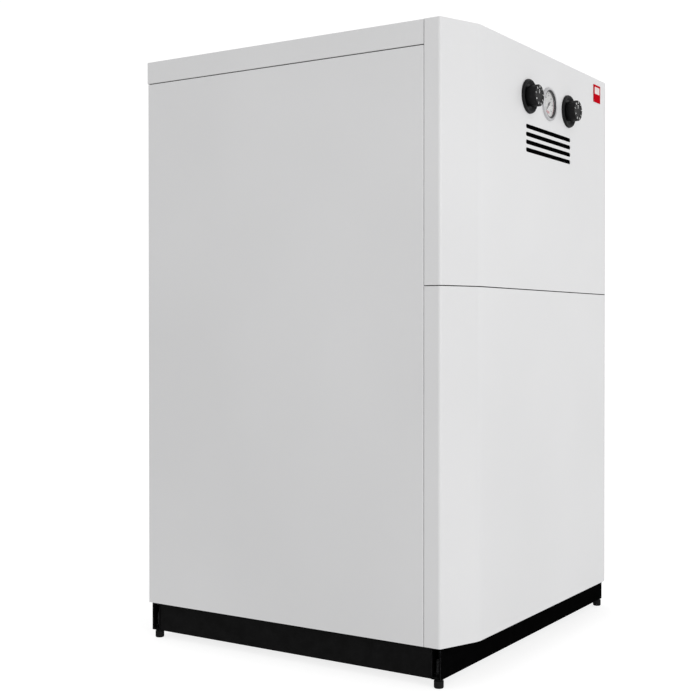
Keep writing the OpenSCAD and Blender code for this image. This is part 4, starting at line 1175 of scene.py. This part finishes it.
def swell(obj, pins):
    """Blows a blanket up by cloth simulation; points near a pin stay, and no point moves far."""
    start = [v.co.copy() for v in obj.data.vertices]
    held = obj.vertex_groups.new(name="held")
    near = [v.index for v in obj.data.vertices if min((v.co - p).length for p in pins) < PIN_REACH]
    held.add(near, 1.0, "REPLACE")
    cloth = obj.modifiers.new("swell", "CLOTH")
    cloth.settings.quality = 4
    cloth.settings.use_pressure = True
    cloth.settings.uniform_pressure_force = 4.0
    cloth.settings.vertex_group_mass = "held"
    cloth.settings.effector_weights.gravity = 0.0
    cloth.point_cache.frame_start, cloth.point_cache.frame_end = 1, SWELL_STEPS
    for step in range(1, SWELL_STEPS + 1):
        bpy.context.scene.frame_set(step)
    shaped = obj.evaluated_get(bpy.context.evaluated_depsgraph_get()).to_mesh()
    blown = [v.co.copy() for v in shaped.vertices]
    obj.modifiers.remove(cloth)
    obj.vertex_groups.remove(held)
    bpy.context.scene.frame_set(1)
    for v, a, b in zip(obj.data.vertices, start, blown):
        shift = b - a
        if shift.length > WOOL_CAP:
            shift *= WOOL_CAP / shift.length
        v.co = a + shift


def blanket(number, slab, pins):
    """One foil-faced mineral wool blanket with raw cut edges, dimpled at its fixing pins."""
    low, high, flat = slab
    middle, size = (low + high) / 2, high - low
    bm = panels_mesh()
    solids = islands(bm)
    for v in solids[number]:
        for i in range(3):
            inset = (5.0 if i == flat else 3.5) * MM
            v.co[i] = middle[i] + (v.co[i] - middle[i]) * (1 - 2 * inset / size[i])
    others = [v for k, island in enumerate(solids) if k != number for v in island]
    bmesh.ops.delete(bm, geom=others, context="VERTS")
    name = BLANKETS[flat, 1 if middle[flat] > 0 else -1]
    obj = make_piece(name, bm, BODY, "wool", replaces=["insulation_panels"], smooth=False)
    skin = add_modifier(obj, "skin", "REMESH", mode="VOXEL", voxel_size=WOOL_VOXEL)
    mesh = applied(obj)
    obj.modifiers.remove(skin)
    obj.data = mesh
    swell(obj, pins)
    for v in mesh.vertices:
        v.co = settle(v.co, slab)
    mesh.materials.clear()
    mesh.materials.append(FINISH["wool"])
    mesh.materials.append(FINISH["wool_fibre"])
    for face in mesh.polygons:
        face.use_smooth = True
        face.material_index = 0 if abs(face.normal[flat]) > FOIL_SLOPE else 1
    add_modifier(obj, "fine", "SUBSURF", levels=1, render_levels=1)
    return obj


def add_washers(bm, obj, pins, flat):
    """Pressed washers at the pins, sunk in the foil on both faces."""
    outline = rounded([(0, -1.0), (13, -1.0), (13, 0.0, 0.3), (9, 0.5, 1.0), (4, 0.1, 1.0),
                       (2.5, 0.9, 0.5), (0, 1.0)], 2)
    for point in pins:
        for way in (-1, 1):
            out = Vector((0, 0, 0))
            out[flat] = way
            hit, spot, _, _ = obj.ray_cast(point + out * WASHER_RAY, -out, distance=2 * WASHER_RAY)
            if hit and (spot - point).length < WASHER_REACH:
                lathe(bm, outline, aimed(spot, out), 24)


def insulation():
    """All five blankets, and the washers on their fixing pins as one piece."""
    bm = panels_mesh()
    slabs = [slab_of(island) for island in islands(bm)]
    bm.free()
    washers = bmesh.new()
    for number, slab in enumerate(slabs):
        pins = pin_grid(*slab)
        obj = blanket(number, slab, pins)
        bpy.context.view_layer.update()
        add_washers(washers, obj, pins, slab[2])
    make_piece("wool_washers", washers, BODY, "zinc_steel")


# ---------- feet ----------
# Thread of a foot's stud, in mm
STUD_PITCH = 1.25
STUD_ROOT = 3.35
STUD_CREST = 4.0


def foot(side, rear):
    """Round rubber-shod levelling foot with a soft lower edge on a threaded stud."""
    node = f"foot_{rear}_{side}"
    centre = centre_of(node)
    place = Matrix.Translation((centre.x, centre.y, 0))
    r = half_width(node)
    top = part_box(node)[1].z / MM
    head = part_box("base_channels")[0].z / MM
    bm = bmesh.new()
    outline = rounded([(0, 0), (r - 0.6, 0, 1.6), (r, 2.2, 0.8), (r, head - 2, 0.8), (0, head - 2)], 5)
    lathe(bm, outline, place, 64)
    screw = [(0, head - 2.2), (STUD_ROOT + 0.25, head - 2.2)]
    for k in range(int((top - head) / STUD_PITCH)):
        h = head - 1.9 + k * STUD_PITCH
        screw += [(STUD_ROOT, h), (STUD_CREST, h + 0.55), (STUD_CREST, h + 0.7), (STUD_ROOT, h + 1.2)]
    screw += [(STUD_ROOT, top - 0.5), (2.8, top), (0, top)]
    lathe(bm, screw, place, 32, material=1)
    make_piece(node + "_pad", bm, node, "rubber", ["rubber", "base_paint"], replaces=[node])


# ---------- stage ----------
# Strength of the even light on the object, and of the backdrop that the camera sees
AMBIENT = 0.66
BACKDROP = 1.05
# Glow of the floor for the camera and for the object above it, and half its width in metres
FLOOR_LIFT = 0.78
FLOOR_GLOW = 0.35
FLOOR_HALF = 40
# Distance of the soft boxes from the middle of the object, and their width and height, in metres
LIGHT_DISTANCE = 7.0
LIGHT_SIZE = (4.0, 2.2)


def make_floor():
    """Wide white floor that glows a little, so that the shadow on it stays soft and light."""
    mesh = bpy.data.meshes.new("floor")
    corners = [(x * FLOOR_HALF, y * FLOOR_HALF, 0) for x, y in ((-1, -1), (1, -1), (1, 1), (-1, 1))]
    mesh.from_pydata(corners, [], [(0, 1, 2, 3)])
    f = Finish((0.4, 0.4, 0.4), 0.9, Specular_IOR_Level=0.1)
    f.drive("Base Color", f.blend(f.noise(3.0, 2.0), (0.39, 0.39, 0.39), (0.41, 0.41, 0.41)))
    f.set("Emission Color", (1, 1, 1, 1))
    path = f.add("ShaderNodeLightPath")
    f.drive("Emission Strength", f.span(path.outputs["Is Camera Ray"], 0, 1, FLOOR_GLOW, FLOOR_LIFT))
    f.material.name = "floor_white"
    mesh.materials.append(f.material)
    new_object("floor", mesh)


def make_world():
    """White backdrop for the camera, and a softer even light for the object."""
    world = bpy.data.worlds.new("studio")
    bpy.context.scene.world = world
    world.use_nodes = True
    tree = world.node_tree
    tree.nodes.clear()
    mix = tree.nodes.new("ShaderNodeMixShader")
    path = tree.nodes.new("ShaderNodeLightPath")
    tree.links.new(path.outputs["Is Camera Ray"], mix.inputs[0])
    for socket, strength in ((mix.inputs[1], AMBIENT), (mix.inputs[2], BACKDROP)):
        light = tree.nodes.new("ShaderNodeBackground")
        light.inputs["Color"].default_value = (1, 1, 1, 1)
        light.inputs["Strength"].default_value = strength
        tree.links.new(light.outputs[0], socket)
    tree.links.new(mix.outputs[0], tree.nodes.new("ShaderNodeOutputWorld").inputs[0])


def look_along(obj, ahead):
    obj.rotation_mode = "QUATERNION"
    obj.rotation_quaternion = ahead.to_track_quat("-Z", "Y")


def soft_box(name, azimuth, slope, power):
    """A soft box aimed at the middle of the object, azimuth degrees to the left of the front."""
    light = bpy.data.lights.new(name, "AREA")
    light.shape = "RECTANGLE"
    light.size, light.size_y = LIGHT_SIZE
    light.energy = power
    obj = new_object(name, light)
    a = math.radians(azimuth)
    away = Vector((-math.sin(a), -math.cos(a), slope)) * LIGHT_DISTANCE
    obj.location = Vector((0, 0, 0.5)) + away
    look_along(obj, -away)
    obj.visible_camera = False


def make_lights():
    """A key light from the front left, and two weaker ones that open the shadows."""
    soft_box("key", 26, 0.10, 181)
    soft_box("fill_right", -50, 0.10, 36)
    soft_box("fill_left", 112, 0.50, 26)


def make_camera():
    """Eye-level view from the front left, at the distance of the studio view."""
    camera = new_object("camera", bpy.data.cameras.new("camera"))
    camera.data.lens = 61.06
    camera.data.sensor_width = 36.0
    camera.data.shift_x = -0.0445
    camera.data.shift_y = -0.0143
    camera.location = (-1.9872, -1.2331, 0.5731)
    turn, tilt = math.radians(57.93), math.radians(0.529)
    flat = math.cos(tilt)
    look_along(camera, Vector((math.sin(turn) * flat, math.cos(turn) * flat, -math.sin(tilt))))
    camera.data.clip_start, camera.data.clip_end = 0.05, 100
    bpy.context.scene.camera = camera


def make_stage():
    """Backdrop, floor, lights and camera."""
    make_world()
    make_floor()
    make_lights()
    make_camera()
    view = bpy.context.scene.view_settings
    view.view_transform = "Standard"
    view.look = "None"


finish_all_nodes()
for node in ("knob_left", "knob_right"):
    knob(node)
knob_bezels()
gauge()
badge()
slot_screen()
water_pipes()
gas_pipe()
flue_spigot()
thermocouple()
ignition_lead()
pilot_gas_tube()
capillaries()
control_wires()
gas_valve()
insulation()
for row in ("front", "rear"):
    for hand in ("left", "right"):
        foot(hand, row)
make_stage()
